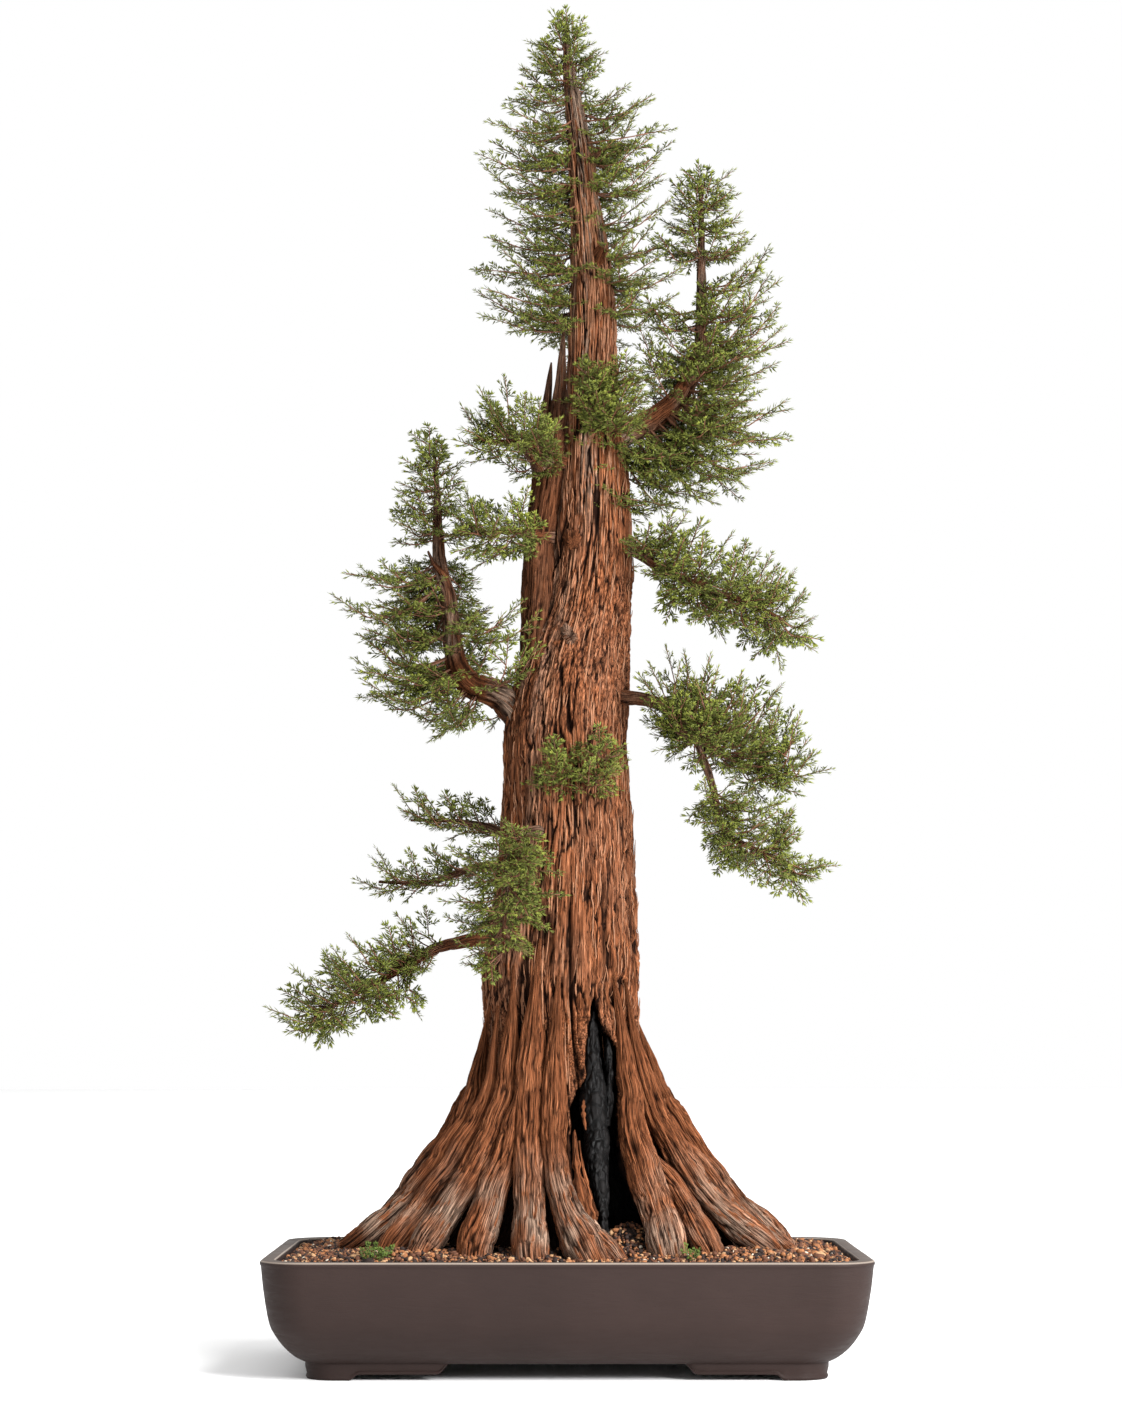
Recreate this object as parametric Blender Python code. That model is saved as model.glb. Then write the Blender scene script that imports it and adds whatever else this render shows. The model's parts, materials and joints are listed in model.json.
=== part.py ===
"""A formal upright bonsai in a shallow clay pot with four feet. Metres, +Z up, the pot stands on z = 0."""

import math

import bmesh
import bpy
from mathutils import Matrix, Vector

# Fits
CLEARANCE = 0.0003

# Pot
POT_WIDTH = 0.446
POT_DEPTH = 0.290
POT_HEIGHT = 0.086
POT_CORNER = 0.035
POT_WALL = 0.0105
POT_FLOOR = 0.009
FOOT_HEIGHT = 0.012
FOOT_STEP = 0.0042
FOOT_THICKNESS = 0.015
FOOT_ARM_X = 0.105
FOOT_ARM_Y = 0.062
FOOT_TOE_X = 0.036
FOOT_TOE_Y = 0.034

# Drainage
DRAIN_DIAMETER = 0.024
DRAIN_SPACING = 0.180
SCREEN_SIDE = 0.040
SCREEN_THICKNESS = 0.0012
SCREEN_HOLES = 5
WIRE_DIAMETER = 0.0012
WIRE_TAIL = 0.012

# Soil
SOIL_DROP = 0.006
SOIL_MOUND = 0.018

# Tree
TREE_HEIGHT = 0.976
TREE_SPREAD = 1.0
BARE_SOIL_SIDE = 0.061
BARE_SOIL_FRONT = 0.040
ROOT_DEPTH = 0.030
DRAWN_HEIGHT = 0.976

RIM_Z = POT_HEIGHT
FLOOR_Z = FOOT_HEIGHT + POT_FLOOR
SOIL_EDGE_Z = RIM_Z - SOIL_DROP
SCREEN_Z = FLOOR_Z + CLEARANCE
SCREEN_TOP_Z = SCREEN_Z + SCREEN_THICKNESS
WIRE_Z = SCREEN_TOP_Z + CLEARANCE + WIRE_DIAMETER / 2
DRAIN_X = DRAIN_SPACING / 2

# Trunk: height above the rim, middle of the trunk in x, reach to the side, reach to the front
# as a share of the reach to the side, and how far the roots stand out of it.
TRUNK = (
    (0.036, -0.002, 0.1380, 0.74, 0.46),
    (0.060, -0.003, 0.1210, 0.76, 0.40),
    (0.086, -0.003, 0.1030, 0.78, 0.32),
    (0.112, -0.003, 0.0890, 0.80, 0.26),
    (0.150, -0.004, 0.0717, 0.84, 0.18),
    (0.189, -0.004, 0.0614, 0.88, 0.12),
    (0.227, -0.003, 0.0560, 0.90, 0.08),
    (0.285, -0.001, 0.0520, 0.92, 0.05),
    (0.342, 0.000, 0.0487, 0.93, 0.04),
    (0.400, 0.000, 0.0466, 0.94, 0.03),
    (0.430, 0.003, 0.0445, 0.94, 0.03),
    (0.462, 0.009, 0.0395, 0.95, 0.02),
    (0.490, 0.015, 0.0350, 0.96, 0.02),
    (0.534, 0.020, 0.0305, 0.98, 0.02),
    (0.575, 0.021, 0.0278, 1.00, 0.02),
    (0.620, 0.021, 0.0238, 1.00, 0.0),
    (0.660, 0.020, 0.0203, 1.00, 0.0),
    (0.737, 0.0215, 0.0175, 1.00, 0.0),
    (0.818, 0.017, 0.0142, 1.00, 0.0),
    (0.900, 0.009, 0.0095, 1.00, 0.0),
    (0.932, 0.003, 0.0040, 1.00, 0.0),
    (0.962, 0.000, 0.0018, 1.00, 0.0),
)
TRUNK_SIDES = 44
ROOT_ANGLES = (200, 222, 249, 270, 305, 324, 346, 14, 45, 80, 115, 150)
ROOT_WIDTH = 11.0

# Burnt hollow: height above the rim, its middle in x and half of its width.
HOLLOW = (
    (0.006, 0.049, 0.0160),
    (0.030, 0.037, 0.0175),
    (0.048, 0.026, 0.0170),
    (0.080, 0.019, 0.0165),
    (0.106, 0.021, 0.0165),
    (0.128, 0.0265, 0.0115),
    (0.162, 0.0265, 0.0115),
    (0.184, 0.027, 0.0030),
)
HOLLOW_BACK = 0.42
COLUMN_FRONT = 0.70
COLUMN_WIDTH = 0.55

# Limbs: name, points as (x, y, height above the rim) and the radius at the first and the last point.
LIMBS = (
    (
        "right_leader",
        (
            (0.022, 0.003, 0.612),
            (0.040, 0.005, 0.627),
            (0.067, 0.010, 0.643),
            (0.087, 0.015, 0.662),
            (0.102, 0.020, 0.690),
            (0.107, 0.020, 0.720),
            (0.107, 0.018, 0.765),
            (0.107, 0.015, 0.805),
            (0.106, 0.010, 0.855),
        ),
        0.0115,
        0.0016,
    ),
    (
        "left_leader",
        (
            (-0.018, 0.0, 0.414),
            (-0.052, -0.010, 0.422),
            (-0.074, -0.015, 0.428),
            (-0.086, -0.020, 0.446),
            (-0.091, -0.020, 0.487),
            (-0.099, -0.015, 0.535),
            (-0.101, -0.010, 0.583),
            (-0.105, -0.006, 0.640),
        ),
        0.0135,
        0.0016,
    ),
    (
        "low_left_branch",
        (
            (-0.030, -0.008, 0.236),
            (-0.064, -0.020, 0.234),
            (-0.096, -0.035, 0.228),
            (-0.120, -0.045, 0.215),
            (-0.149, -0.050, 0.198),
            (-0.178, -0.055, 0.183),
            (-0.203, -0.058, 0.177),
        ),
        0.0072,
        0.0016,
    ),
    (
        "second_left_branch",
        ((-0.025, 0.0, 0.293), (-0.076, 0.010, 0.289), (-0.106, 0.015, 0.280), (-0.146, 0.018, 0.280)),
        0.0050,
        0.0014,
    ),
    (
        "third_left_branch",
        ((-0.020, 0.005, 0.312), (-0.050, 0.012, 0.318), (-0.085, 0.022, 0.327), (-0.122, 0.032, 0.329)),
        0.0048,
        0.0014,
    ),
    (
        "front_branch",
        ((-0.014, -0.025, 0.318), (-0.034, -0.066, 0.310), (-0.044, -0.084, 0.278), (-0.048, -0.092, 0.222)),
        0.0040,
        0.0013,
    ),
    (
        "upper_right_branch",
        (
            (0.028, 0.0, 0.556),
            (0.050, -0.006, 0.538),
            (0.073, -0.015, 0.522),
            (0.100, -0.025, 0.506),
            (0.137, -0.030, 0.492),
            (0.176, -0.034, 0.476),
        ),
        0.0062,
        0.0014,
    ),
    (
        "middle_right_branch",
        (
            (0.022, -0.004, 0.424),
            (0.050, -0.020, 0.418),
            (0.072, -0.030, 0.412),
            (0.094, -0.040, 0.398),
            (0.106, -0.045, 0.361),
            (0.121, -0.047, 0.316),
            (0.150, -0.050, 0.298),
            (0.178, -0.050, 0.288),
        ),
        0.0064,
        0.0015,
    ),
    (
        "middle_right_fork",
        ((0.098, -0.043, 0.386), (0.132, -0.030, 0.368), (0.180, -0.022, 0.357)),
        0.0040,
        0.0014,
    ),
    (
        "upper_left_branch",
        ((-0.006, -0.010, 0.606), (-0.036, -0.030, 0.615), (-0.072, -0.036, 0.618)),
        0.0048,
        0.0015,
    ),
    (
        "lower_left_branch",
        ((-0.012, -0.012, 0.545), (-0.051, -0.036, 0.546), (-0.082, -0.042, 0.543)),
        0.0044,
        0.0015,
    ),
    (
        "upper_back_branch",
        ((0.016, 0.010, 0.520), (0.016, 0.058, 0.545), (0.014, 0.110, 0.560)),
        0.0060,
        0.0016,
    ),
    (
        "lower_back_branch",
        ((0.000, 0.020, 0.372), (-0.004, 0.068, 0.398), (-0.006, 0.118, 0.412)),
        0.0064,
        0.0016,
    ),
    (
        "crown_back_branch",
        ((0.020, 0.004, 0.700), (0.018, 0.040, 0.735), (0.016, 0.074, 0.760)),
        0.0050,
        0.0015,
    ),
)
LIMB_SIDES = 8

# Deadwood left standing beside the living trunk: middle in x, height above the rim and radius.
DEADWOOD = (
    (-0.012, 0.400, 0.030),
    (-0.022, 0.455, 0.0135),
    (-0.0235, 0.490, 0.0110),
    (-0.0195, 0.534, 0.0108),
    (-0.0155, 0.575, 0.0098),
    (-0.0130, 0.615, 0.0085),
    (-0.0105, 0.650, 0.0056),
    (-0.0060, 0.705, 0.0014),
)

# Foliage: name, middle (x, y, height above the rim) and half sizes.
FOLIAGE = (
    ("crown_tip", (0.001, 0.000, 0.932), (0.038, 0.034, 0.044)),
    ("crown_left", (-0.034, -0.006, 0.842), (0.036, 0.042, 0.064)),
    ("crown_right", (0.052, -0.008, 0.846), (0.038, 0.042, 0.062)),
    ("crown_back", (0.010, 0.048, 0.850), (0.044, 0.036, 0.070)),
    ("crown_low_left", (-0.034, -0.004, 0.750), (0.035, 0.040, 0.046)),
    ("crown_low_right", (0.058, -0.008, 0.752), (0.032, 0.040, 0.044)),
    ("crown_low_back", (0.016, 0.062, 0.748), (0.046, 0.036, 0.054)),
    ("right_spire", (0.108, 0.012, 0.804), (0.046, 0.040, 0.040)),
    ("right_leader_inner", (0.073, 0.006, 0.700), (0.030, 0.040, 0.042)),
    ("right_leader_outer", (0.136, 0.010, 0.712), (0.036, 0.042, 0.056)),
    ("right_leader_low", (0.118, -0.002, 0.612), (0.050, 0.044, 0.044)),
    ("right_inner_low", (0.056, 0.006, 0.586), (0.030, 0.040, 0.036)),
    ("right_leader_back", (0.106, 0.066, 0.668), (0.044, 0.034, 0.056)),
    ("right_front_spray", (0.038, -0.040, 0.650), (0.027, 0.024, 0.030)),
    ("upper_right_pad", (0.122, -0.030, 0.502), (0.072, 0.045, 0.042)),
    ("middle_right_pad", (0.124, -0.034, 0.394), (0.068, 0.046, 0.046)),
    ("low_right_pad", (0.142, -0.050, 0.308), (0.050, 0.040, 0.035)),
    ("upper_left_pad", (-0.043, -0.036, 0.620), (0.037, 0.034, 0.034)),
    ("lower_left_pad", (-0.058, -0.042, 0.543), (0.031, 0.030, 0.030)),
    ("left_spire", (-0.108, -0.010, 0.582), (0.032, 0.036, 0.050)),
    ("left_leader_pad", (-0.131, -0.022, 0.488), (0.045, 0.038, 0.038)),
    ("left_leader_low_pad", (-0.120, -0.022, 0.420), (0.052, 0.040, 0.032)),
    ("left_leader_inner", (-0.050, -0.044, 0.462), (0.034, 0.026, 0.028)),
    ("left_leader_back", (-0.104, 0.042, 0.486), (0.038, 0.030, 0.052)),
    ("third_left_pad", (-0.096, 0.024, 0.330), (0.040, 0.030, 0.018)),
    ("second_left_pad", (-0.108, 0.014, 0.284), (0.050, 0.030, 0.020)),
    ("low_left_pad", (-0.156, -0.050, 0.198), (0.062, 0.038, 0.038)),
    ("front_spray", (-0.048, -0.087, 0.258), (0.034, 0.026, 0.054)),
    ("front_sprig", (0.012, -0.062, 0.366), (0.032, 0.014, 0.019)),
    ("upper_back_pad", (0.014, 0.086, 0.556), (0.038, 0.038, 0.048)),
    ("lower_back_pad", (-0.006, 0.094, 0.408), (0.038, 0.038, 0.044)),
)
FOLIAGE_GAP = 0.0006
WOOD_GAP = 0.0008

# Sprouts: place as a share of the pot's half width and half depth, radius and half height.
SPROUTS = (
    ("sprout_left", -0.6233, -0.7448, 0.0130, 0.0060),
    ("sprout_right", 0.4081, -0.7724, 0.0050, 0.0035),
)


def clear_scene():
    for obj in list(bpy.data.objects):
        bpy.data.objects.remove(obj)


def plain_material(name, color, roughness, metallic=0.0):
    material = bpy.data.materials.new(name)
    material.use_nodes = True
    shader = material.node_tree.nodes["Principled BSDF"]
    shader.inputs["Base Color"].default_value = (*color, 1.0)
    shader.inputs["Roughness"].default_value = roughness
    shader.inputs["Metallic"].default_value = metallic
    material.diffuse_color = (*color, 1.0)
    return material


def clay_material():
    return plain_material("unglazed_clay", (0.075, 0.055, 0.050), 0.62)


def soil_material():
    return plain_material("bark_soil", (0.150, 0.062, 0.032), 0.95)


def bark_material():
    return plain_material("bark", (0.260, 0.105, 0.045), 0.85)


def needle_material():
    return plain_material("needles", (0.075, 0.110, 0.030), 0.60)


def sprout_material():
    return plain_material("sprout_leaves", (0.120, 0.230, 0.040), 0.55)


def screen_material():
    return plain_material("drain_screen_plastic", (0.030, 0.032, 0.034), 0.55)


def wire_material():
    return plain_material("aluminium_wire", (0.420, 0.270, 0.170), 0.40, 1.0)


def mesh_object(name, builder, material=None):
    mesh = bpy.data.meshes.new(name)
    bmesh.ops.recalc_face_normals(builder, faces=builder.faces)
    builder.to_mesh(mesh)
    builder.free()
    mesh.shade_smooth()
    mesh.set_sharp_from_angle(angle=math.radians(35))
    if material:
        mesh.materials.append(material)
    obj = bpy.data.objects.new(name, mesh)
    bpy.context.scene.collection.objects.link(obj)
    return obj


def helper(obj):
    obj.hide_render = True
    obj.display_type = "WIRE"
    return obj


def loft(builder, rings):
    """Skins a row of equal rings and closes both ends."""
    rows = [[builder.verts.new(point) for point in ring] for ring in rings]
    for low, high in zip(rows, rows[1:]):
        for index in range(len(low)):
            after = (index + 1) % len(low)
            builder.faces.new((low[index], low[after], high[after], high[index]))
    builder.faces.new(list(reversed(rows[0])))
    builder.faces.new(rows[-1])


def lofted(name, rings, material=None):
    builder = bmesh.new()
    loft(builder, rings)
    return mesh_object(name, builder, material)


def cut(obj, other, operation="DIFFERENCE"):
    modifier = obj.modifiers.new(operation.lower(), "BOOLEAN")
    modifier.operation = operation
    modifier.object = other
    modifier.solver = "EXACT"


def bake(obj):
    """Applies the modifiers and keeps the one largest body."""
    bpy.context.view_layer.update()
    graph = bpy.context.evaluated_depsgraph_get()
    baked = bpy.data.meshes.new_from_object(obj.evaluated_get(graph))
    obj.modifiers.clear()
    obj.data = baked
    builder = bmesh.new()
    builder.from_mesh(baked)
    bmesh.ops.remove_doubles(builder, verts=builder.verts, dist=1e-6)
    bodies = []
    waiting = set(builder.faces)
    while waiting:
        front = [waiting.pop()]
        body = set(front)
        while front:
            for edge in front.pop().edges:
                for face in edge.link_faces:
                    if face in waiting:
                        waiting.discard(face)
                        body.add(face)
                        front.append(face)
        bodies.append(body)
    bodies.sort(key=lambda body: sum(face.calc_area() for face in body))
    loose = [face for body in bodies[:-1] for face in body]
    bmesh.ops.delete(builder, geom=loose, context="FACES")
    builder.to_mesh(baked)
    builder.free()
    baked.shade_smooth()
    baked.set_sharp_from_angle(angle=math.radians(35))


def rounded_rectangle(half_x, half_y, radius, z, steps=5):
    points = []
    for corner, (sign_x, sign_y) in enumerate(((1, 1), (-1, 1), (-1, -1), (1, -1))):
        for step in range(steps + 1):
            angle = math.radians(90 * corner + 90 * step / steps)
            x = sign_x * (half_x - radius) + radius * math.cos(angle)
            y = sign_y * (half_y - radius) + radius * math.sin(angle)
            points.append(Vector((x, y, z)))
    return points


# Pot -----------------------------------------------------------------------------------------


def pot_profile():
    """Inset from the rim's outer edge and height of the outer face, from the foot line to the rim."""
    side = POT_HEIGHT - FOOT_HEIGHT
    return (
        (0.0330, FOOT_HEIGHT),
        (0.0250, FOOT_HEIGHT + 0.050 * side),
        (0.0175, FOOT_HEIGHT + 0.145 * side),
        (0.0110, FOOT_HEIGHT + 0.270 * side),
        (0.0068, FOOT_HEIGHT + 0.400 * side),
        (0.0028, FOOT_HEIGHT + 0.700 * side),
        (0.0008, RIM_Z - 0.0050),
        (0.0000, RIM_Z - 0.0030),
        (0.0004, RIM_Z - 0.0008),
        (0.0014, RIM_Z),
    )


def inside_profile():
    """Inset from the rim's outer edge and height of the inner face, from the floor to the rim."""
    side = RIM_Z - FLOOR_Z
    return (
        (0.0330 + POT_WALL * 0.4, FLOOR_Z),
        (0.0180 + POT_WALL, FLOOR_Z + 0.10 * side),
        (0.0080 + POT_WALL, FLOOR_Z + 0.30 * side),
        (0.0030 + POT_WALL, FLOOR_Z + 0.65 * side),
        (0.0008 + POT_WALL, RIM_Z - 0.0012),
        (POT_WALL - 0.0006, RIM_Z),
    )


def pot_ring(inset, z):
    return rounded_rectangle(POT_WIDTH / 2 - inset, POT_DEPTH / 2 - inset, POT_CORNER - inset * 0.35, z)


def inside_inset(z):
    """Inset of the pot's inner face at a height."""
    rows = inside_profile()
    for (inset_low, low), (inset_high, high) in zip(rows, rows[1:]):
        if z <= high:
            return inset_low + (inset_high - inset_low) * (z - low) / (high - low)
    return rows[-1][0]


def foot_outline(reach_x, reach_y, z):
    """Half of a bracket foot under one corner, as an L that follows the pot's lower edge."""
    inset = pot_profile()[0][0] - 0.0005
    half_x = POT_WIDTH / 2 - inset
    half_y = POT_DEPTH / 2 - inset
    radius = POT_CORNER - inset * 0.35
    center = Vector((half_x - radius, half_y - radius, z))
    turns = [math.radians(90 * step / 6) for step in range(7)]
    outer = [center + radius * Vector((math.cos(turn), math.sin(turn), 0)) for turn in turns]
    inner_radius = radius - FOOT_THICKNESS
    inner = [center + inner_radius * Vector((math.cos(turn), math.sin(turn), 0)) for turn in turns]
    return (
        [Vector((half_x, half_y - reach_y, z))]
        + outer
        + [Vector((half_x - reach_x, half_y, z)), Vector((half_x - reach_x, half_y - FOOT_THICKNESS, z))]
        + list(reversed(inner))
        + [Vector((half_x - FOOT_THICKNESS, half_y - reach_y, z))]
    )


def foot_block(name, reach_x, reach_y, z, sign_x, sign_y):
    """One step of a foot, let into the pot's floor so that the two become one body."""
    rings = []
    for height in (z, FOOT_HEIGHT + 0.4 * POT_FLOOR):
        ring = foot_outline(reach_x, reach_y, height)
        rings.append([Vector((sign_x * point.x, sign_y * point.y, point.z)) for point in ring])
    return helper(lofted(name, rings))


def build_pot():
    shell = [pot_ring(inset, z) for inset, z in pot_profile()]
    hollow = [pot_ring(inset, z) for inset, z in reversed(inside_profile())]
    pot = lofted("pot", shell + hollow, clay_material())
    for sign_x in (-1, 1):
        for sign_y in (-1, 1):
            cut(pot, foot_block("foot_arm", FOOT_ARM_X, FOOT_ARM_Y, FOOT_STEP, sign_x, sign_y), "UNION")
            cut(pot, foot_block("foot_toe", FOOT_TOE_X, FOOT_TOE_Y, 0.0, sign_x, sign_y), "UNION")
    for sign in (-1, 1):
        builder = bmesh.new()
        bmesh.ops.create_cone(
            builder,
            cap_ends=True,
            segments=20,
            radius1=DRAIN_DIAMETER / 2,
            radius2=DRAIN_DIAMETER / 2,
            depth=4 * POT_FLOOR,
            matrix=Matrix.Translation((sign * DRAIN_X, 0, FLOOR_Z - POT_FLOOR / 2)),
        )
        cut(pot, helper(mesh_object("drain_bore", builder)))
    bake(pot)
    return pot


# Drainage ------------------------------------------------------------------------------------


def build_screen(name, x):
    """A square plastic screen with a grid of open squares, lying on the pot's floor over a drain."""
    cells = 2 * SCREEN_HOLES + 1
    pitch = SCREEN_SIDE / cells
    builder = bmesh.new()
    corners = {}
    for row in range(cells + 1):
        for column in range(cells + 1):
            place = (column * pitch - SCREEN_SIDE / 2, row * pitch - SCREEN_SIDE / 2, 0)
            corners[row, column] = builder.verts.new(place)
    for row in range(cells):
        for column in range(cells):
            if row % 2 and column % 2:
                continue
            square = ((row, column), (row, column + 1), (row + 1, column + 1), (row + 1, column))
            builder.faces.new([corners[key] for key in square])
    bmesh.ops.dissolve_limit(builder, angle_limit=0.01, verts=builder.verts, edges=builder.edges)
    bottom = list(builder.faces)
    grown = bmesh.ops.extrude_face_region(builder, geom=bottom)
    raised = [item for item in grown["geom"] if isinstance(item, bmesh.types.BMVert)]
    bmesh.ops.translate(builder, verts=raised, vec=(0, 0, SCREEN_THICKNESS))
    screen = mesh_object(name, builder, screen_material())
    screen.location = (x, 0, SCREEN_Z)
    return screen


def screen_hole(number):
    """Middle of a numbered opening of a screen, counted from its middle one."""
    return number * 2 * SCREEN_SIDE / (2 * SCREEN_HOLES + 1)


def build_staple(name, x):
    """A wire bent over a screen, through two of its openings and out under the pot's floor."""
    leg = screen_hole(1)
    under = FOOT_HEIGHT - CLEARANCE - WIRE_DIAMETER / 2
    tail = DRAIN_DIAMETER / 2 + WIRE_TAIL
    half = [(0, WIRE_Z), (leg, WIRE_Z), (leg, under), (tail, under)]
    points = [Vector((-x, 0, z)) for x, z in reversed(half)] + [Vector((x, 0, z)) for x, z in half[1:]]
    rings = []
    side = Vector((0, 1, 0))
    for index, point in enumerate(points):
        ahead = (points[min(index + 1, len(points) - 1)] - point).normalized()
        behind = (point - points[max(index - 1, 0)]).normalized()
        along = (ahead + behind).normalized()
        mitre = 1 / max(along.dot(ahead), along.dot(behind))
        up = along.cross(side) * mitre
        ring = []
        for step in range(8):
            angle = math.radians(45 * step)
            ring.append(point + (side * math.cos(angle) + up * math.sin(angle)) * WIRE_DIAMETER / 2)
        rings.append(ring)
    staple = lofted(name, rings, wire_material())
    staple.location = (x, 0, 0)
    return staple


# Soil ----------------------------------------------------------------------------------------


def soil_height(share):
    """Height of the soil: share is 1 at the pot's wall and 0 in the middle."""
    return SOIL_EDGE_Z + SOIL_MOUND * (1 - share) ** 0.6


def soil_height_at(x, y):
    inset = inside_inset(SOIL_EDGE_Z)
    share = max(abs(x) / (POT_WIDTH / 2 - inset), abs(y) / (POT_DEPTH / 2 - inset))
    return soil_height(min(share, 1.0))


def build_soil(tree_room):
    """Soil that fills the pot, with a pocket for the roots and one over each screen."""
    rings = []
    for inset, z in inside_profile():
        if z < SOIL_EDGE_Z:
            rings.append(pot_ring(inset + CLEARANCE, z + CLEARANCE))
    wall = inside_inset(SOIL_EDGE_Z) + CLEARANCE
    rings.append(pot_ring(wall, SOIL_EDGE_Z))
    half_x = POT_WIDTH / 2 - wall
    half_y = POT_DEPTH / 2 - wall
    for share in (0.96, 0.88, 0.76, 0.60, 0.40, 0.20):
        ring = rounded_rectangle(half_x * share, half_y * share, POT_CORNER * share, soil_height(share))
        rings.append(ring)
    soil = lofted("soil", rings, soil_material())
    cut(soil, tree_room)
    for sign in (-1, 1):
        half = SCREEN_SIDE / 2 + CLEARANCE
        top = WIRE_Z + WIRE_DIAMETER / 2 + CLEARANCE
        builder = bmesh.new()
        size = Matrix.Diagonal((2 * half, 2 * half, top, 1))
        place = Matrix.Translation((sign * DRAIN_X, 0, top / 2)) @ size
        bmesh.ops.create_cube(builder, size=1.0, matrix=place)
        cut(soil, helper(mesh_object("screen_pocket", builder)))
    bake(soil)
    return soil


def build_sprout(name, across, along, radius, height):
    x = across * POT_WIDTH / 2
    y = along * POT_DEPTH / 2
    builder = bmesh.new()
    bmesh.ops.create_icosphere(builder, subdivisions=2, radius=1.0)
    base = max(soil_height_at(x + dx * radius, y + dy * radius) for dx in (-1, 0, 1) for dy in (-1, 0, 1))
    for vertex in builder.verts:
        lump = 1 + 0.12 * math.sin(7 * vertex.co.x + 5 * vertex.co.y)
        vertex.co = Vector((vertex.co.x * radius * lump, vertex.co.y * radius * lump, vertex.co.z * height))
    sprout = mesh_object(name, builder, sprout_material())
    sprout.location = (x, y, base + CLEARANCE + height)
    return sprout


# Tree ----------------------------------------------------------------------------------------


def rise(height):
    """World height of a height above the rim on the drawn tree."""
    return RIM_Z + height * TREE_HEIGHT / DRAWN_HEIGHT


def place_point(point):
    return Vector((point[0] * TREE_SPREAD, point[1] * TREE_SPREAD, rise(point[2])))


def root_wave(angle):
    """1 along a root and 0 between two roots."""
    wave = 0.0
    for root in ROOT_ANGLES:
        turn = (angle - root + 180) % 360 - 180
        wave = max(wave, math.exp(-((turn / ROOT_WIDTH) ** 2)))
    return wave


def root_rows():
    """The rows of the trunk that lie in the soil and just over it, whose reach follows the pot."""
    reach_x = POT_WIDTH / 2 - BARE_SOIL_SIDE
    reach_y = POT_DEPTH / 2 - BARE_SOIL_FRONT
    ratio = reach_y / reach_x
    return (
        (SOIL_EDGE_Z - ROOT_DEPTH, 0.0, reach_x * 0.80, ratio, 0.30),
        (SOIL_EDGE_Z - ROOT_DEPTH * 0.7, 0.0, reach_x * 0.98, ratio, 0.42),
        (SOIL_EDGE_Z, 0.0, reach_x * 1.04, ratio, 0.50),
        (RIM_Z + 0.010, 0.002, reach_x, ratio, 0.52),
    )


def trunk_rows(extra):
    """Height, middle, both reaches and root strength for each ring, with both ends moved out by extra."""
    rows = list(root_rows())
    rows += [(rise(row[0]), row[1] * TREE_SPREAD, row[2] * TREE_SPREAD, row[3], row[4]) for row in TRUNK]
    grown = []
    for index, (z, middle, reach, ratio, roots) in enumerate(rows):
        if index == 0:
            z -= extra
        if index == len(rows) - 1:
            z += extra
        grown.append((z, middle, reach, reach * ratio, roots))
    return grown


def trunk_front(z):
    """Reach of the trunk to the front at a height."""
    rows = trunk_rows(0.0)
    for low, high in zip(rows, rows[1:]):
        if z <= high[0]:
            part = (z - low[0]) / (high[0] - low[0])
            return low[3] + (high[3] - low[3]) * part
    return rows[-1][3]


def trunk_object(name, extra):
    rings = []
    for z, middle, reach_x, reach_y, roots in trunk_rows(extra):
        ring = []
        for step in range(TRUNK_SIDES):
            angle = 360 * step / TRUNK_SIDES
            swell = 1 - roots + roots * root_wave(angle)
            x = reach_x * swell * math.cos(math.radians(angle))
            y = reach_y * swell * math.sin(math.radians(angle))
            outward = Vector((x, y, 0))
            outward += outward.normalized() * extra * (2 if roots > 0.25 else 1)
            ring.append(outward + Vector((middle, 0, z)))
        rings.append(ring)
    return lofted(name, rings)


def smooth_path(points, steps=3):
    """Points along a Catmull-Rom curve through the given ones."""
    path = []
    for index in range(len(points) - 1):
        before = points[max(index - 1, 0)]
        start = points[index]
        end = points[index + 1]
        after = points[min(index + 2, len(points) - 1)]
        for step in range(steps):
            t = step / steps
            path.append(
                0.5
                * (
                    2 * start
                    + (end - before) * t
                    + (2 * before - 5 * start + 4 * end - after) * t**2
                    + (3 * start - before - 3 * end + after) * t**3
                )
            )
    path.append(points[-1])
    return path


def tube_rings(path, radii, sides):
    """Round rings across a path, turned as little as possible from one to the next."""
    rings = []
    along = (path[1] - path[0]).normalized()
    side = along.orthogonal().normalized()
    for index, point in enumerate(path):
        ahead = path[min(index + 1, len(path) - 1)] - path[max(index - 1, 0)]
        ahead.normalize()
        side = (side - ahead * side.dot(ahead)).normalized()
        up = ahead.cross(side)
        ring = []
        for step in range(sides):
            angle = 2 * math.pi * step / sides
            ring.append(point + radii[index] * (side * math.cos(angle) + up * math.sin(angle)))
        rings.append(ring)
    return rings


def limb_object(name, points, thick, thin, extra):
    steps = 2 if len(points) > 4 else 3
    path = smooth_path([place_point(point) for point in points], steps)
    path[-1] += (path[-1] - path[-2]).normalized() * extra
    last = len(path) - 1
    radii = [thick + (thin - thick) * (index / last) ** 0.75 + extra for index in range(last + 1)]
    return helper(lofted(name, tube_rings(path, radii, LIMB_SIDES)))


def deadwood_object(extra):
    path = [Vector((x * TREE_SPREAD, -0.006, rise(height))) for x, height, _ in DEADWOOD]
    radii = [radius + extra for _, _, radius in DEADWOOD]
    return helper(lofted("deadwood", tube_rings(path, radii, 10)))


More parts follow.
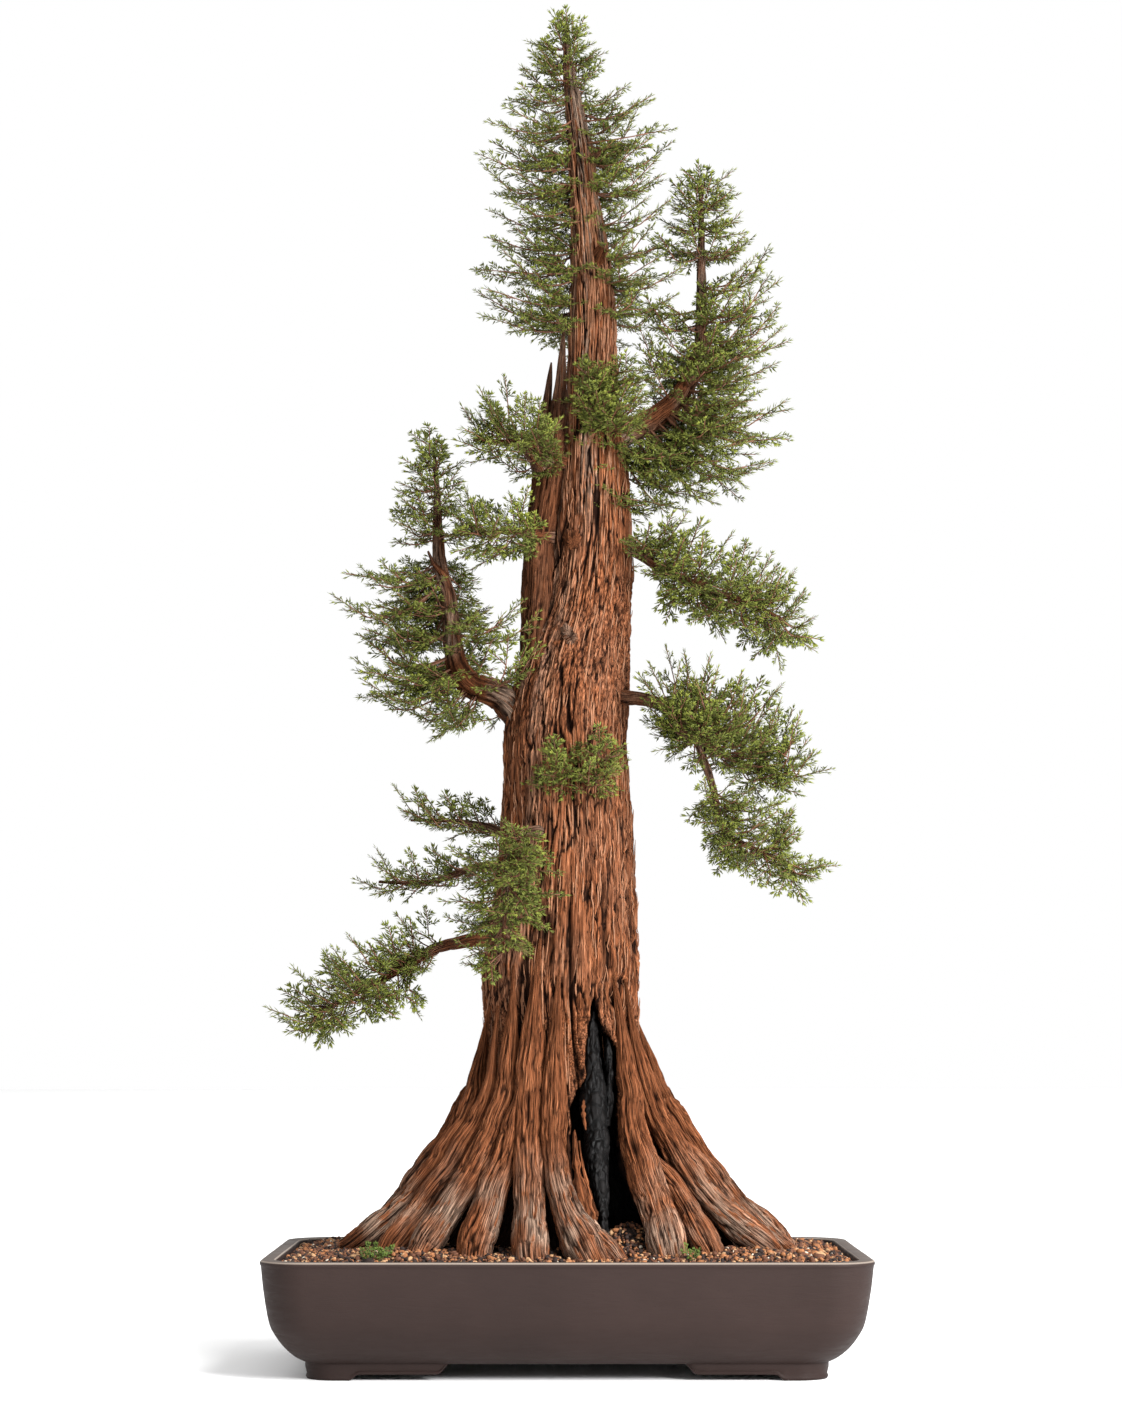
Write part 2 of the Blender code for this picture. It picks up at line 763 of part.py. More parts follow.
def hollow_object():
    """The burnt hollow, as a cutter that leaves a charred column standing inside."""
    rings = []
    for height, middle, half in HOLLOW:
        z = rise(height)
        reach = trunk_front(z)
        front = -reach * 1.2
        back = -reach * HOLLOW_BACK
        column = -reach * COLUMN_FRONT
        core = half * COLUMN_WIDTH
        outline = (
            (-half, front),
            (half, front),
            (half, back),
            (core, back),
            (core, column),
            (-core, column),
            (-core, back),
            (-half, back),
        )
        rings.append([Vector((middle * TREE_SPREAD + x, y, z)) for x, y in outline])
    return helper(lofted("hollow", rings))


def build_wood(name, extra=0.0):
    """Roots, trunk, deadwood and limbs, which grew as one piece."""
    wood = trunk_object(name, extra)
    cut(wood, deadwood_object(extra), "UNION")
    for limb, points, thick, thin in LIMBS:
        cut(wood, limb_object(limb, points, thick, thin, extra), "UNION")
    if not extra:
        cut(wood, hollow_object())
    bake(wood)
    return wood


def part_plane(one, other):
    """Where two foliage masses meet: a point and the direction from one to the other."""
    middle_a, half_a = one
    middle_b, half_b = other
    across = middle_b - middle_a
    direction = across.normalized()
    reach_a = math.sqrt(sum((half_a[axis] * direction[axis]) ** 2 for axis in range(3)))
    reach_b = math.sqrt(sum((half_b[axis] * direction[axis]) ** 2 for axis in range(3)))
    if reach_a + reach_b < across.length:
        return None
    return middle_a + across * reach_a / (reach_a + reach_b), direction


def foliage_masses():
    masses = {}
    stretch = TREE_HEIGHT / DRAWN_HEIGHT
    for name, middle, half in FOLIAGE:
        size = Vector((half[0] * TREE_SPREAD, half[1] * TREE_SPREAD, half[2] * stretch))
        masses[name] = (place_point(middle), size)
    return masses


def foliage_object(name, masses, material):
    """A lumpy mass of foliage, trimmed flat where it meets the ones beside it."""
    middle, half = masses[name]
    builder = bmesh.new()
    bmesh.ops.create_icosphere(builder, subdivisions=2, radius=1.0)
    for vertex in builder.verts:
        phase = 31 * vertex.co.x + 17 * vertex.co.y + 23 * vertex.co.z + 40 * middle.x
        lump = 0.95 + 0.05 * math.sin(phase)
        vertex.co = middle + Vector([vertex.co[axis] * half[axis] * lump for axis in range(3)])
    for other, mass in masses.items():
        if other == name:
            continue
        plane = part_plane(masses[name], mass)
        if not plane:
            continue
        point, direction = plane
        everything = list(builder.verts) + list(builder.edges) + list(builder.faces)
        result = bmesh.ops.bisect_plane(
            builder,
            geom=everything,
            plane_co=point - direction * FOLIAGE_GAP / 2,
            plane_no=direction,
            clear_outer=True,
        )
        rim = [item for item in result["geom_cut"] if isinstance(item, bmesh.types.BMEdge)]
        if rim:
            bmesh.ops.holes_fill(builder, edges=rim, sides=0)
    return mesh_object(name, builder, material)


def build_foliage(room):
    """Every foliage mass, with a tunnel where the wood runs through it."""
    masses = foliage_masses()
    material = needle_material()
    for name in masses:
        mass = foliage_object(name, masses, material)
        cut(mass, room)
        bake(mass)


def main():
    clear_scene()
    wood = build_wood("tree")
    wood.data.materials.clear()
    wood.data.materials.append(bark_material())
    room = helper(build_wood("tree_room", WOOD_GAP))
    build_pot()
    for side, sign in (("left", -1), ("right", 1)):
        build_screen("drain_screen_" + side, sign * DRAIN_X)
        build_staple("screen_wire_" + side, sign * DRAIN_X)
    build_soil(room)
    for sprout in SPROUTS:
        build_sprout(*sprout)
    build_foliage(room)


main()
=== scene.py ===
"""A formal upright bonsai in a shallow clay pot: clay, soil, bark, burnt hollow, limbs and needles."""

import itertools
import json
import math

import bmesh
import bpy
import numpy as np
from bpy.props import FloatProperty, FloatVectorProperty, IntProperty, PointerProperty
from mathutils import Matrix, Vector

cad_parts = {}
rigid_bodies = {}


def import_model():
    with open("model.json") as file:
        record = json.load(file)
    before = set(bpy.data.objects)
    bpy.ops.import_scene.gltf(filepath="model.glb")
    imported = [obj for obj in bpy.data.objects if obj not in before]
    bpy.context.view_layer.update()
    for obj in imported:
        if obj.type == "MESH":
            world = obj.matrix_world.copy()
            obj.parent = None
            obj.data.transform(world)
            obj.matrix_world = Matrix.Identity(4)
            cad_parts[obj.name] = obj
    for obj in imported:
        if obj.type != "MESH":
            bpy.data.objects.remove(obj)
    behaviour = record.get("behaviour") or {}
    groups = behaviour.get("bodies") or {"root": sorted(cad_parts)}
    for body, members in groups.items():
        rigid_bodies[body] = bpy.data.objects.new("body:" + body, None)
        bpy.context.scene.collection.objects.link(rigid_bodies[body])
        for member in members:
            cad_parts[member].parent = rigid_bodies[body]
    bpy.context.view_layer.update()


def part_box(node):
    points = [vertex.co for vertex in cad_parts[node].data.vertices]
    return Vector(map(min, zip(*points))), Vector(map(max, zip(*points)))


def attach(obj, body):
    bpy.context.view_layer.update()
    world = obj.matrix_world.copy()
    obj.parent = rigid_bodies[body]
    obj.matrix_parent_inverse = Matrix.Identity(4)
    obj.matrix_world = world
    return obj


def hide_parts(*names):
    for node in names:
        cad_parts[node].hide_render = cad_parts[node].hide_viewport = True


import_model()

bl_info = {
    "name": "Potted Bonsai",
    "version": (1, 0, 0),
    "blender": (4, 5, 0),
    "location": "3D View > Sidebar > Bonsai",
    "description": "Dresses a potted bonsai with clay, soil, bark, limbs and needles",
    "category": "Add Mesh",
}

BODY = "root"

HALF_X, HALF_Y, RIM_Z = Vector(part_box("pot")[1])


def metres(rows):
    """Rows of millimetres, in metres."""
    return tuple(tuple(round(value / 1000, 7) for value in row) for row in rows)


# Pot: inset from the rim's outer edge and height, from the foot line up to the rim.
FOOT_HEIGHT = 0.012
FLOOR_Z = 0.021
POT_CORNER = 0.035
CORNER_DRAFT = 0.35
OUTSIDE = metres((
    (33, 12), (31, 12.2), (25, 15.7), (17.5, 22.7), (11, 32), (6.8, 41.6), (2.8, 63.8), (0.8, 81),
    (0.1, 82.8), (0, 84.2), (0.4, 85.3), (1.4, 86),
))
INSIDE = metres((
    (9.2, 86), (10.2, 85.7), (10.8, 84.5), (11.3, 80), (13.5, 63.2), (18.5, 40.5), (28.5, 27.5), (37.2, 21.2),
))
FOOT_THICKNESS = 0.015
FOOT_ARM = (0.105, 0.062)
FOOT_TOE = (0.036, 0.034)
FOOT_STEP = 0.0042
DRAIN_RADIUS = 0.012
DRAIN_X = 0.090
BORE_SIDES = 40

# Soil
SOIL_EDGE_Z = 0.080
SOIL_MOUND = 0.018
SOIL_INSET = 0.0116
# Inset and height up the soil's side.
SOIL_SIDE = metres(((37.6, 21.6), (29, 28), (19, 41), (14, 63.4), (11.6, 79)))
# A heap before the hollow: x, y, rise and width.
HEAP = (0.046, -0.064, 0.016, 0.020)
# The granules beyond this reach to the side are pieces of their own.
SOIL_SPLIT = 0.075
# Each kind of granule: its colour and its share.
GRANULES = {
    "orange_granules": ((0.300, 0.120, 0.046), 0.20),
    "brown_granules": ((0.110, 0.042, 0.020), 0.34),
    "dark_granules": ((0.022, 0.011, 0.008), 0.35),
    "tan_granules": ((0.420, 0.240, 0.120), 0.09),
    "pale_granules": ((0.560, 0.480, 0.380), 0.02),
}

# Trunk: height, middle in x, reach to the side, reach to the front as a share of it, root strength.
TRUNK = (
    (0.050, 0.000, 0.130, 0.65, 0.30),
    (0.066, 0.000, 0.158, 0.65, 0.42),
    (0.080, 0.000, 0.168, 0.65, 0.50),
    (0.096, 0.002, 0.162, 0.65, 0.52),
    (0.122, 0.001, 0.132, 0.74, 0.47),
    (0.146, 0.001, 0.115, 0.76, 0.42),
    (0.172, 0.001, 0.097, 0.78, 0.36),
    (0.198, 0.000, 0.084, 0.80, 0.30),
    (0.236, -0.002, 0.0690, 0.84, 0.20),
    (0.275, -0.004, 0.0630, 0.88, 0.13),
    (0.313, -0.003, 0.0582, 0.90, 0.09),
    (0.371, -0.001, 0.0526, 0.92, 0.06),
    (0.428, 0.000, 0.0487, 0.93, 0.05),
    (0.486, 0.000, 0.0466, 0.94, 0.04),
    (0.516, 0.003, 0.0445, 0.94, 0.04),
    (0.548, 0.009, 0.0395, 0.95, 0.03),
    (0.576, 0.015, 0.0350, 0.96, 0.03),
    (0.620, 0.020, 0.0305, 0.98, 0.03),
    (0.661, 0.021, 0.0278, 1.00, 0.03),
    (0.706, 0.021, 0.0238, 1.00, 0.02),
    (0.746, 0.020, 0.0203, 1.00, 0.02),
    (0.823, 0.0200, 0.0175, 1.00, 0.02),
    (0.856, 0.0185, 0.0148, 1.00, 0.02),
    (0.904, 0.0145, 0.0112, 1.00, 0.02),
    (0.955, 0.0095, 0.0088, 1.00, 0.0),
    (0.986, 0.0052, 0.0066, 1.00, 0.0),
    (1.012, 0.0016, 0.0044, 1.00, 0.0),
    (1.030, 0.0005, 0.0028, 1.00, 0.0),
    (1.048, 0.0000, 0.0014, 1.00, 0.0),
)
# Roots as seen from the front: points as (x, z, radius) from the trunk down into the soil.
FRONT_ROOTS = (
    metres((
        (-58, 270, 6), (-66, 230, 9), (-70, 200, 10), (-78, 180, 10.5), (-91, 160, 10.8), (-105, 140, 11.2),
        (-121, 120, 12), (-142, 100, 12.5), (-168, 80, 12), (-180, 66, 11),
    )),
    metres((
        (-52, 270, 5), (-58, 215, 7), (-67, 185, 8), (-80, 162, 8.2), (-95, 140, 8.2), (-110, 120, 8.8),
        (-124, 101, 9.2), (-136, 84, 9), (-145, 68, 8),
    )),
    metres((
        (-40, 300, 5), (-42, 250, 9), (-46, 205, 10), (-53, 182, 10.5), (-63, 160, 10.8), (-74, 140, 10.8),
        (-87, 120, 10.8), (-100, 100, 11.2), (-110, 84, 10.8), (-118, 66, 10),
    )),
    metres((
        (-35, 215, 4), (-39, 192, 7), (-44, 168, 9.8), (-51, 144, 11.2), (-59, 120, 12.2), (-66, 100, 12.8),
        (-70, 82, 12.8), (-73, 62, 11),
    )),
    metres((
        (-20, 320, 6), (-24, 270, 10), (-27, 220, 11.2), (-29, 180, 11), (-29, 150, 10.8), (-28, 120, 11.8),
        (-28, 100, 12.4), (-27, 80, 12.6), (-27, 60, 11),
    )),
    metres((
        (-6, 300, 6), (-9, 240, 9.8), (-10, 195, 9.6), (-9, 165, 9), (-6, 140, 9.8), (0, 120, 11.5),
        (9, 101, 14), (19, 84, 14.5), (27, 62, 13),
    )),
    metres((
        (0, 132, 4), (10, 115, 6.5), (22, 100, 7.8), (34, 88, 8), (44, 70, 7),
    )),
    metres((
        (34, 300, 6), (42, 250, 8.5), (47, 212, 9), (49, 185, 10.5), (53, 162, 12.5), (59, 140, 13.2),
        (66, 120, 13), (72, 100, 13.2), (76, 82, 13.4), (79, 62, 11.5),
    )),
    metres((
        (62, 165, 4), (69, 151, 6.2), (78, 138, 7.8), (88, 121, 9.2), (98, 102, 9.8), (106, 86, 9.6),
        (112, 66, 8.5),
    )),
    metres((
        (44, 290, 5), (53, 240, 8), (61, 207, 9), (72, 181, 10.2), (83, 160, 10.5), (96, 139, 10.5),
        (113, 119, 11), (136, 100, 11.2), (152, 86, 10.5), (162, 68, 9),
    )),
    metres((
        (80, 176, 4), (92, 160, 7.2), (106, 140, 8), (122, 119, 8.2), (137, 100, 8.2), (152, 84, 7.5),
    )),
    metres((
        (60, 240, 4), (72, 208, 8), (83, 193, 10), (92, 178, 10), (102, 158, 9.5), (114, 140, 9.8),
        (126, 121, 10.5), (145, 101, 10), (167, 84, 8.5), (180, 70, 7.5),
    )),
)
# Roots behind, which turn the front ones half round the trunk.
BACK_ROOTS = (0, 1, 2, 3, 4, 5, 7, 8, 9, 11)
BACK_MIDDLE_ROOTS = (
    metres((
        (0, 290, 7), (6, 230, 10.5), (12, 190, 12), (22, 160, 12.5), (30, 135, 12.8), (36, 112, 13.5),
        (40, 90, 13.5), (43, 66, 12),
    )),
)
TRUNK_SIDES = (640, 480, 400)
TRUNK_ROWS = (150, 200, 240)
TRUNK_CUTS = (0.069, 0.290, 0.600, 1.045)
CORE_GAP = ((0.066, 0.030), (0.110, 0.029), (0.160, 0.021), (0.240, 0.008), (0.300, 0.0))
GRAIN_RADII = (0.130, 0.055, 0.026)

# Burnt hollow: height, left edge and right edge in x.
HOLLOW = metres((
    (70, 30, 66), (105, 22, 62), (120, 12, 52), (140, 5, 44), (160, 3, 40), (180, 3, 38), (200, 4, 38.5),
    (208, 8, 38), (216, 13, 37.5), (238, 14.2, 38.5), (248, 16, 31.5), (256, 18, 26.5), (270, 19.2, 23.2),
    (284, 20.6, 21.2), (292, 22.5, 20),
))
HOLLOW_DEPTH = 0.046
# Charred column in the hollow: height, left edge and right edge in x, depth behind the bark.
CHARRED_COLUMN = metres((
    (90, 25, 30, 8), (115, 22.5, 30.5, 8), (140, 16.5, 30.5, 7), (160, 13, 31.5, 6), (180, 12.5, 31.5, 6),
    (200, 9.5, 31.5, 6), (214, 12, 29, 7), (235, 13, 24.5, 8), (252, 15, 23.5, 9), (266, 18, 22, 10),
))
CHARRED_RIB = metres((
    (180, 26, 33, 14), (200, 27.5, 34.5, 12), (220, 29, 35, 12), (238, 29, 33.5, 14), (246, 30, 32, 16),
))
# Torn flaps of bark in the hollow: points as (x, y, z) and radii along each.
FLAPS = (
    (metres(((5.5, -70, 178), (6.5, -78, 158), (9.5, -86, 138), (16.5, -94, 112))),
     (0.0008, 0.0022, 0.0042, 0.0062)),
    (metres(((9, -74, 170), (12, -81, 150), (17, -89, 132), (22.5, -95, 116))),
     (0.0005, 0.0013, 0.0018, 0.001)),
    (metres(((12.5, -68, 200), (12.2, -71, 190), (14, -74, 178))),
     (0.0006, 0.0016, 0.0005)),
)

# Limbs: points as (x, y, z), radius at the first and the last point.
LIMBS = {
    "right_leader": (metres((
        (18, 4, 690), (40, 5, 713), (67, 10, 729), (87, 15, 748), (102, 20, 776), (107, 20, 806),
        (107, 18, 851), (107, 15, 891), (106, 10, 922),
    )), 0.0125, 0.0013),
    "left_leader": (metres((
        (-22, 0, 480), (-44, -6, 503), (-60, -12, 512), (-74, -15, 517), (-86, -20, 533), (-91, -20, 573),
        (-99, -15, 621), (-101, -10, 669), (-104, -6, 706),
    )), 0.015, 0.0011),
    "low_left_branch": (metres((
        (-36, -8, 318), (-64, -20, 320), (-96, -35, 314), (-120, -45, 301), (-149, -50, 284),
        (-178, -55, 269), (-192, -57, 266),
    )), 0.0074, 0.0012),
    "second_left_branch": (metres((
        (-30, 0, 379), (-76, 10, 375), (-106, 15, 366), (-146, 18, 366),
    )), 0.0052, 0.0011),
    "third_left_branch": (metres((
        (-28, 5, 396), (-50, 12, 404), (-85, 22, 413), (-122, 32, 415),
    )), 0.005, 0.0011),
    "front_branch": (metres((
        (-14, -30, 402), (-34, -66, 397), (-44, -84, 364), (-48, -92, 308),
    )), 0.004, 0.0011),
    "upper_right_branch": (metres((
        (30, 0, 646), (50, -6, 625), (73, -15, 608), (100, -25, 592), (137, -30, 578), (164, -33, 566),
    )), 0.007, 0.0012),
    "middle_right_branch": (metres((
        (26, -4, 508), (50, -20, 505), (72, -30, 499), (94, -40, 484), (106, -45, 447), (121, -47, 402),
        (150, -50, 384), (168, -50, 377),
    )), 0.0068, 0.0012),
    "middle_right_fork": (metres(((97, -42, 474), (132, -30, 454), (168, -24, 446))), 0.004, 0.0011),
    "upper_left_branch": (metres((
        (-4, -10, 690), (-30, -27, 700), (-50, -33, 703), (-72, -36, 704),
    )), 0.0058, 0.0012),
    "lower_left_branch": (metres(((-12, -12, 631), (-51, -36, 632), (-82, -42, 629))), 0.0044, 0.0012),
    "upper_back_branch": (metres(((16, 10, 604), (16, 58, 631), (14, 112, 646))), 0.006, 0.0012),
    "lower_back_branch": (metres(((0, 26, 456), (-4, 68, 484), (-6, 118, 498))), 0.0064, 0.0012),
    "crown_back_branch": (metres(((20, 6, 784), (18, 40, 821), (16, 74, 846))), 0.005, 0.0012),
}
# Stubs of lost branches: points as (x, y, z), radius at the first and the last point.
STUBS = {
    "cut_stub": (metres(((-18, -20, 690), (-26, -30, 697), (-31, -36, 700))), 0.0072, 0.0056),
    "leader_stub": (metres(((-94, -18, 600), (-103, -24, 611), (-107, -26, 619))), 0.0034, 0.0008),
    "upper_knot": (metres(((5, -18, 630), (5, -26, 626.5), (5, -31.5, 624.5))), 0.006, 0.0046),
    "middle_knot": (metres(((3, -24, 556), (3, -32, 552.5), (3, -38.5, 550.5))), 0.0062, 0.0048),
    "crown_knot": (metres(((22, -6, 852), (25, -12, 856), (28, -17, 860))), 0.0062, 0.0035),
    "crown_stub_right": (metres(((14, 0, 935), (25, -4, 940), (32, -6, 944))), 0.0036, 0.0009),
    "crown_stub_left": (metres(((12, 0, 915), (2, -4, 913), (-5, -6, 916))), 0.0034, 0.0009),
    "upper_right_stub": (metres(((100, -25, 592), (116, -40, 578), (124, -46, 573))), 0.0052, 0.002),
}
# Deadwood: points as (x, y, z), radii along each and how grey it is.
SPLINTERS = {
    "deadwood_spire": (metres((
        (-12, -8, 470), (-22.5, -10, 545), (-20, -10, 620), (-12.5, -10, 680), (-6, -10, 740),
        (-2.5, -9, 797),
    )), (0.02, 0.0125, 0.0112, 0.0092, 0.0056, 0.0006), 0.1),
    "deadwood_outer_splinter": (metres((
        (-22, -2, 520), (-26.5, -3, 600), (-21, -3, 680), (-16, -4, 735), (-12, -4, 772),
    )), (0.013, 0.009, 0.007, 0.004, 0.0006), 0.25),
    "deadwood_back_splinter": (metres((
        (-14, 12, 500), (-19, 13, 620), (-7, 12, 700), (-2, 10, 752),
    )), (0.015, 0.011, 0.007, 0.0006), 0.3),
}
PLUME_LENGTHS = (0.014, 0.019, 0.025, 0.031)
SPRAY_STEP = 0.0084
# Room kept for needles past a spray's end, and above and below the tiers of a mass.
TIP_ROOM = 0.012
TIER_ROOM = 0.006
CROWN_TIP_ROOM = 0.019
TOP_SPRAYS = 18
# A word in a foliage node's name, its height for each tier, how crowded that is and how it tapers.
TIERS = (
    ("crown_tip", 0.0140, 1.9, 0.84),
    ("spire", 0.0175, 1.5, 0.80),
    ("crown_low", 0.0215, 0.85, 0.0),
    ("crown", 0.0215, 0.85, 0.36),
    ("leader", 0.0205, 0.95, 0.10),
    ("right_inner_low", 0.0205, 0.95, 0.10),
    ("", 0.0140, 1.40, 0.0),
)
FLOOR_HALF = 12.0
FILL_PLACE = (1.15, -1.35, 0.75)
CAMERA_PLACE = (-0.0044, -2.356, 0.247)
CAMERA_TILT = math.radians(96.26)
CAMERA_LENS = 78.45
TRUNK_AXIS = tuple((row[1], 0.0, row[0]) for row in TRUNK)

# Each foliage node and the wood that it grows from.
FOLIAGE = {
    "crown_tip": "trunk", "crown_left": "trunk", "crown_right": "trunk", "crown_back": "trunk",
    "crown_low_left": "trunk", "crown_low_right": "trunk", "crown_low_back": "crown_back_branch",
    "right_spire": "right_leader", "right_leader_inner": "right_leader", "right_leader_outer": "right_leader",
    "right_leader_low": "right_leader", "right_inner_low": "right_leader",
    "right_leader_back": "right_leader", "right_front_spray": "trunk",
    "upper_right_pad": "upper_right_branch", "middle_right_pad": "middle_right_fork",
    "low_right_pad": "middle_right_branch", "upper_left_pad": "upper_left_branch",
    "lower_left_pad": "lower_left_branch", "left_spire": "left_leader", "left_leader_pad": "left_leader",
    "left_leader_low_pad": "left_leader", "left_leader_inner": "left_leader",
    "left_leader_back": "left_leader", "third_left_pad": "third_left_branch",
    "second_left_pad": "second_left_branch", "low_left_pad": "low_left_branch", "front_spray": "front_branch",
    "front_sprig": "trunk", "upper_back_pad": "upper_back_branch", "lower_back_pad": "lower_back_branch",
}


# Noise and curves ------------------------------------------------------------------------------


def lattice_noise(points, seed=0):
    """Smooth noise between -1 and 1 at an array of points."""
    cell = np.floor(points).astype(np.int64)
    part = points - cell
    fade = part * part * (3 - 2 * part)
    total = np.zeros(points.shape[:-1])
    for corner in itertools.product((0, 1), repeat=3):
        key = cell + np.array(corner)
        mixed = key[..., 0] * 374761393 + key[..., 1] * 668265263 + key[..., 2] * 974634777 + seed * 362437
        mixed = (mixed ^ (mixed >> 13)) & 0xFFFFFFFF
        mixed = (mixed * 1274126177) & 0xFFFFFFFF
        mixed = mixed ^ (mixed >> 16)
        value = (mixed & 0xFFFF) / 32767.5 - 1
        weight = np.ones_like(total)
        for axis in range(3):
            weight = weight * (fade[..., axis] if corner[axis] else 1 - fade[..., axis])
        total += value * weight
    return total


def layered_noise(points, seed=0, layers=3):
    total = 0
    for layer in range(layers):
        total = total + lattice_noise(points * 2.1**layer, seed + 17 * layer) / 1.8**layer
    return total / 1.9


def smoothstep(low, high, value):
    part = np.clip((value - low) / (high - low), 0, 1)
    return part * part * (3 - 2 * part)


def smooth_table(at, rows, column):
    """Reads one column of a table of rows by their first value, along a smooth curve."""
    keys = np.array([row[0] for row in rows])
    values = np.array([row[column] for row in rows])
    slopes = np.gradient(values, keys)
    at = np.clip(at, keys[0], keys[-1])
    index = np.clip(np.searchsorted(keys, at, side="right") - 1, 0, len(keys) - 2)
    span = keys[index + 1] - keys[index]
    part = (at - keys[index]) / span
    square, cube = part**2, part**3
    return (
        (2 * cube - 3 * square + 1) * values[index]
        + (cube - 2 * square + part) * span * slopes[index]
        + (3 * square - 2 * cube) * values[index + 1]
        + (cube - square) * span * slopes[index + 1]
    )


def smooth_path(points, steps):
    """Points along a Catmull-Rom curve through the given ones."""
    points = [np.array(point, float) for point in points]
    path = []
    for index in range(len(points) - 1):
        before = points[max(index - 1, 0)]
        start = points[index]
        end = points[index + 1]
        after = points[min(index + 2, len(points) - 1)]
        for step in range(steps):
            t = step / steps
            bend = (2 * before - 5 * start + 4 * end - after) * t**2
            swing = (3 * start - before - 3 * end + after) * t**3
            path.append(0.5 * (2 * start + (end - before) * t + bend + swing))
    path.append(points[-1])
    return np.array(path)


# Meshes ----------------------------------------------------------------------------------------


def skin(rows, columns):
    """Faces of a closed tube of rows by columns of points, whose ends run to one point each."""
    count = rows * columns
    around = np.arange(columns)
    following = (around + 1) % columns
    low = columns * np.arange(rows - 1)[:, None]
    high = low + columns
    quads = np.stack((low + around, low + following, high + following, high + around), axis=-1).reshape(-1, 4)
    first = np.stack((following, around, np.full(columns, count)), axis=-1)
    top = count - columns
    last = np.stack((top + around, top + following, np.full(columns, count + 1)), axis=-1)
    triangles = np.concatenate((first, last))
    return quads, triangles, np.concatenate((quads[:, [0, 1, 2]], quads[:, [0, 2, 3]], triangles))


def mesh_object(name, points, loops, starts, materials, slots=None, smooth=True):
    """Makes an object from points, the corners of its faces in turn and where each face starts."""
    mesh = bpy.data.meshes.new(name)
    mesh.vertices.add(len(points))
    mesh.vertices.foreach_set("co", np.asarray(points, np.float32).ravel())
    mesh.loops.add(len(loops))
    mesh.loops.foreach_set("vertex_index", np.asarray(loops, np.int32))
    mesh.polygons.add(len(starts))
    mesh.polygons.foreach_set("loop_start", np.asarray(starts, np.int32))
    if slots is not None:
        mesh.polygons.foreach_set("material_index", np.asarray(slots, np.int32))
    mesh.update(calc_edges=True)
    if smooth:
        mesh.shade_smooth()
    for material in materials:
        mesh.materials.append(material)
    obj = bpy.data.objects.new(name, mesh)
    bpy.context.scene.collection.objects.link(obj)
    return obj


def faces_object(name, points, faces, materials, slots=None, smooth=True):
    """Makes an object from points and faces that all have the same number of sides."""
    faces = np.asarray(faces)
    starts = np.arange(0, faces.size, faces.shape[1])
    return mesh_object(name, points, faces.ravel(), starts, materials, slots, smooth)


def copies(faces, size, number):
    """The faces of a number of copies of a shape that has so many points."""
    return (faces[None] + size * np.arange(number)[:, None, None]).reshape(-1, 3)


class Gathered:
    """The triangles of many small shapes, on their way into one mesh."""

    def __init__(self):
        self.parts = []
        self.count = 0

    def add(self, points, faces, slots):
        self.parts.append((points, faces + self.count, np.broadcast_to(slots, len(faces))))
        self.count += len(points)

    def add_tube(self, path, radii, sides, slot):
        rings = tube_rings(path, radii, sides).reshape(-1, 3)
        self.add(np.concatenate((rings, [path[0], path[-1]])), skin(len(path), sides)[2], slot)

    def arrays(self):
        return [np.concatenate(arrays) for arrays in zip(*self.parts)]


def tubes_object(name, tubes, materials):
    """Skins several closed tubes as one mesh; a tube is its rings of points and its named values."""
    points, loops, starts = [], [], []
    values = {key: [] for key in tubes[0][1]}
    count, corner = 0, 0
    for rings, named in tubes:
        rows, columns = rings.shape[:2]
        quads, triangles, _ = skin(rows, columns)
        points += [rings.reshape(-1, 3), [rings[0].mean(axis=0), rings[-1].mean(axis=0)]]
        loops += [quads.ravel() + count, triangles.ravel() + count]
        starts += [corner + np.arange(0, quads.size, 4), corner + quads.size + np.arange(0, triangles.size, 3)]
        for key, parts in values.items():
            flat = named[key].reshape(rows * columns, -1)
            parts += [flat, flat[:1], flat[-1:]]
        count += rows * columns + 2
        corner += quads.size + triangles.size
    obj = mesh_object(name, *(np.concatenate(parts) for parts in (points, loops, starts)), materials)
    for key, parts in values.items():
        flat = np.concatenate(parts).astype(np.float32)
        single = flat.shape[1] == 1
        layer = obj.data.attributes.new(key, "FLOAT" if single else "FLOAT_VECTOR", "POINT")
        layer.data.foreach_set("value" if single else "vector", flat.ravel())
    return obj


def tube_object(name, rings, materials, values=None):
    return tubes_object(name, [(rings, values or {})], materials)


def path_frames(path):
    """Direction and two cross directions at each point of a path, turned as little as possible."""
    ahead = np.gradient(path, axis=0)
    ahead /= np.linalg.norm(ahead, axis=1, keepdims=True)
    start = Vector(ahead[0]).orthogonal().normalized()
    side = np.array(start)
    sides = []
    for direction in ahead:
        side = side - direction * side.dot(direction)
        side /= np.linalg.norm(side)
        sides.append(side)
    sides = np.array(sides)
    return ahead, sides, np.cross(ahead, sides)


def tube_rings(path, radii, count):
    """Rings across a path; radii has one value for each point, or one for each point and side."""
    _, side, up = path_frames(path)
    angle = np.linspace(0, 2 * math.pi, count, endpoint=False)
    radii = np.asarray(radii)
    if radii.ndim == 1:
        radii = radii[:, None]
    across = side[:, None, :] * np.cos(angle)[None, :, None] + up[:, None, :] * np.sin(angle)[None, :, None]
    return path[:, None, :] + across * radii[..., None]


def settle(piece, slot, *nodes):
    """Hangs a piece on the body that it rides on and hides the parts that it stands for; slot is not used."""
    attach(piece, BODY)
    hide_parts(*nodes)


# Materials -------------------------------------------------------------------------------------


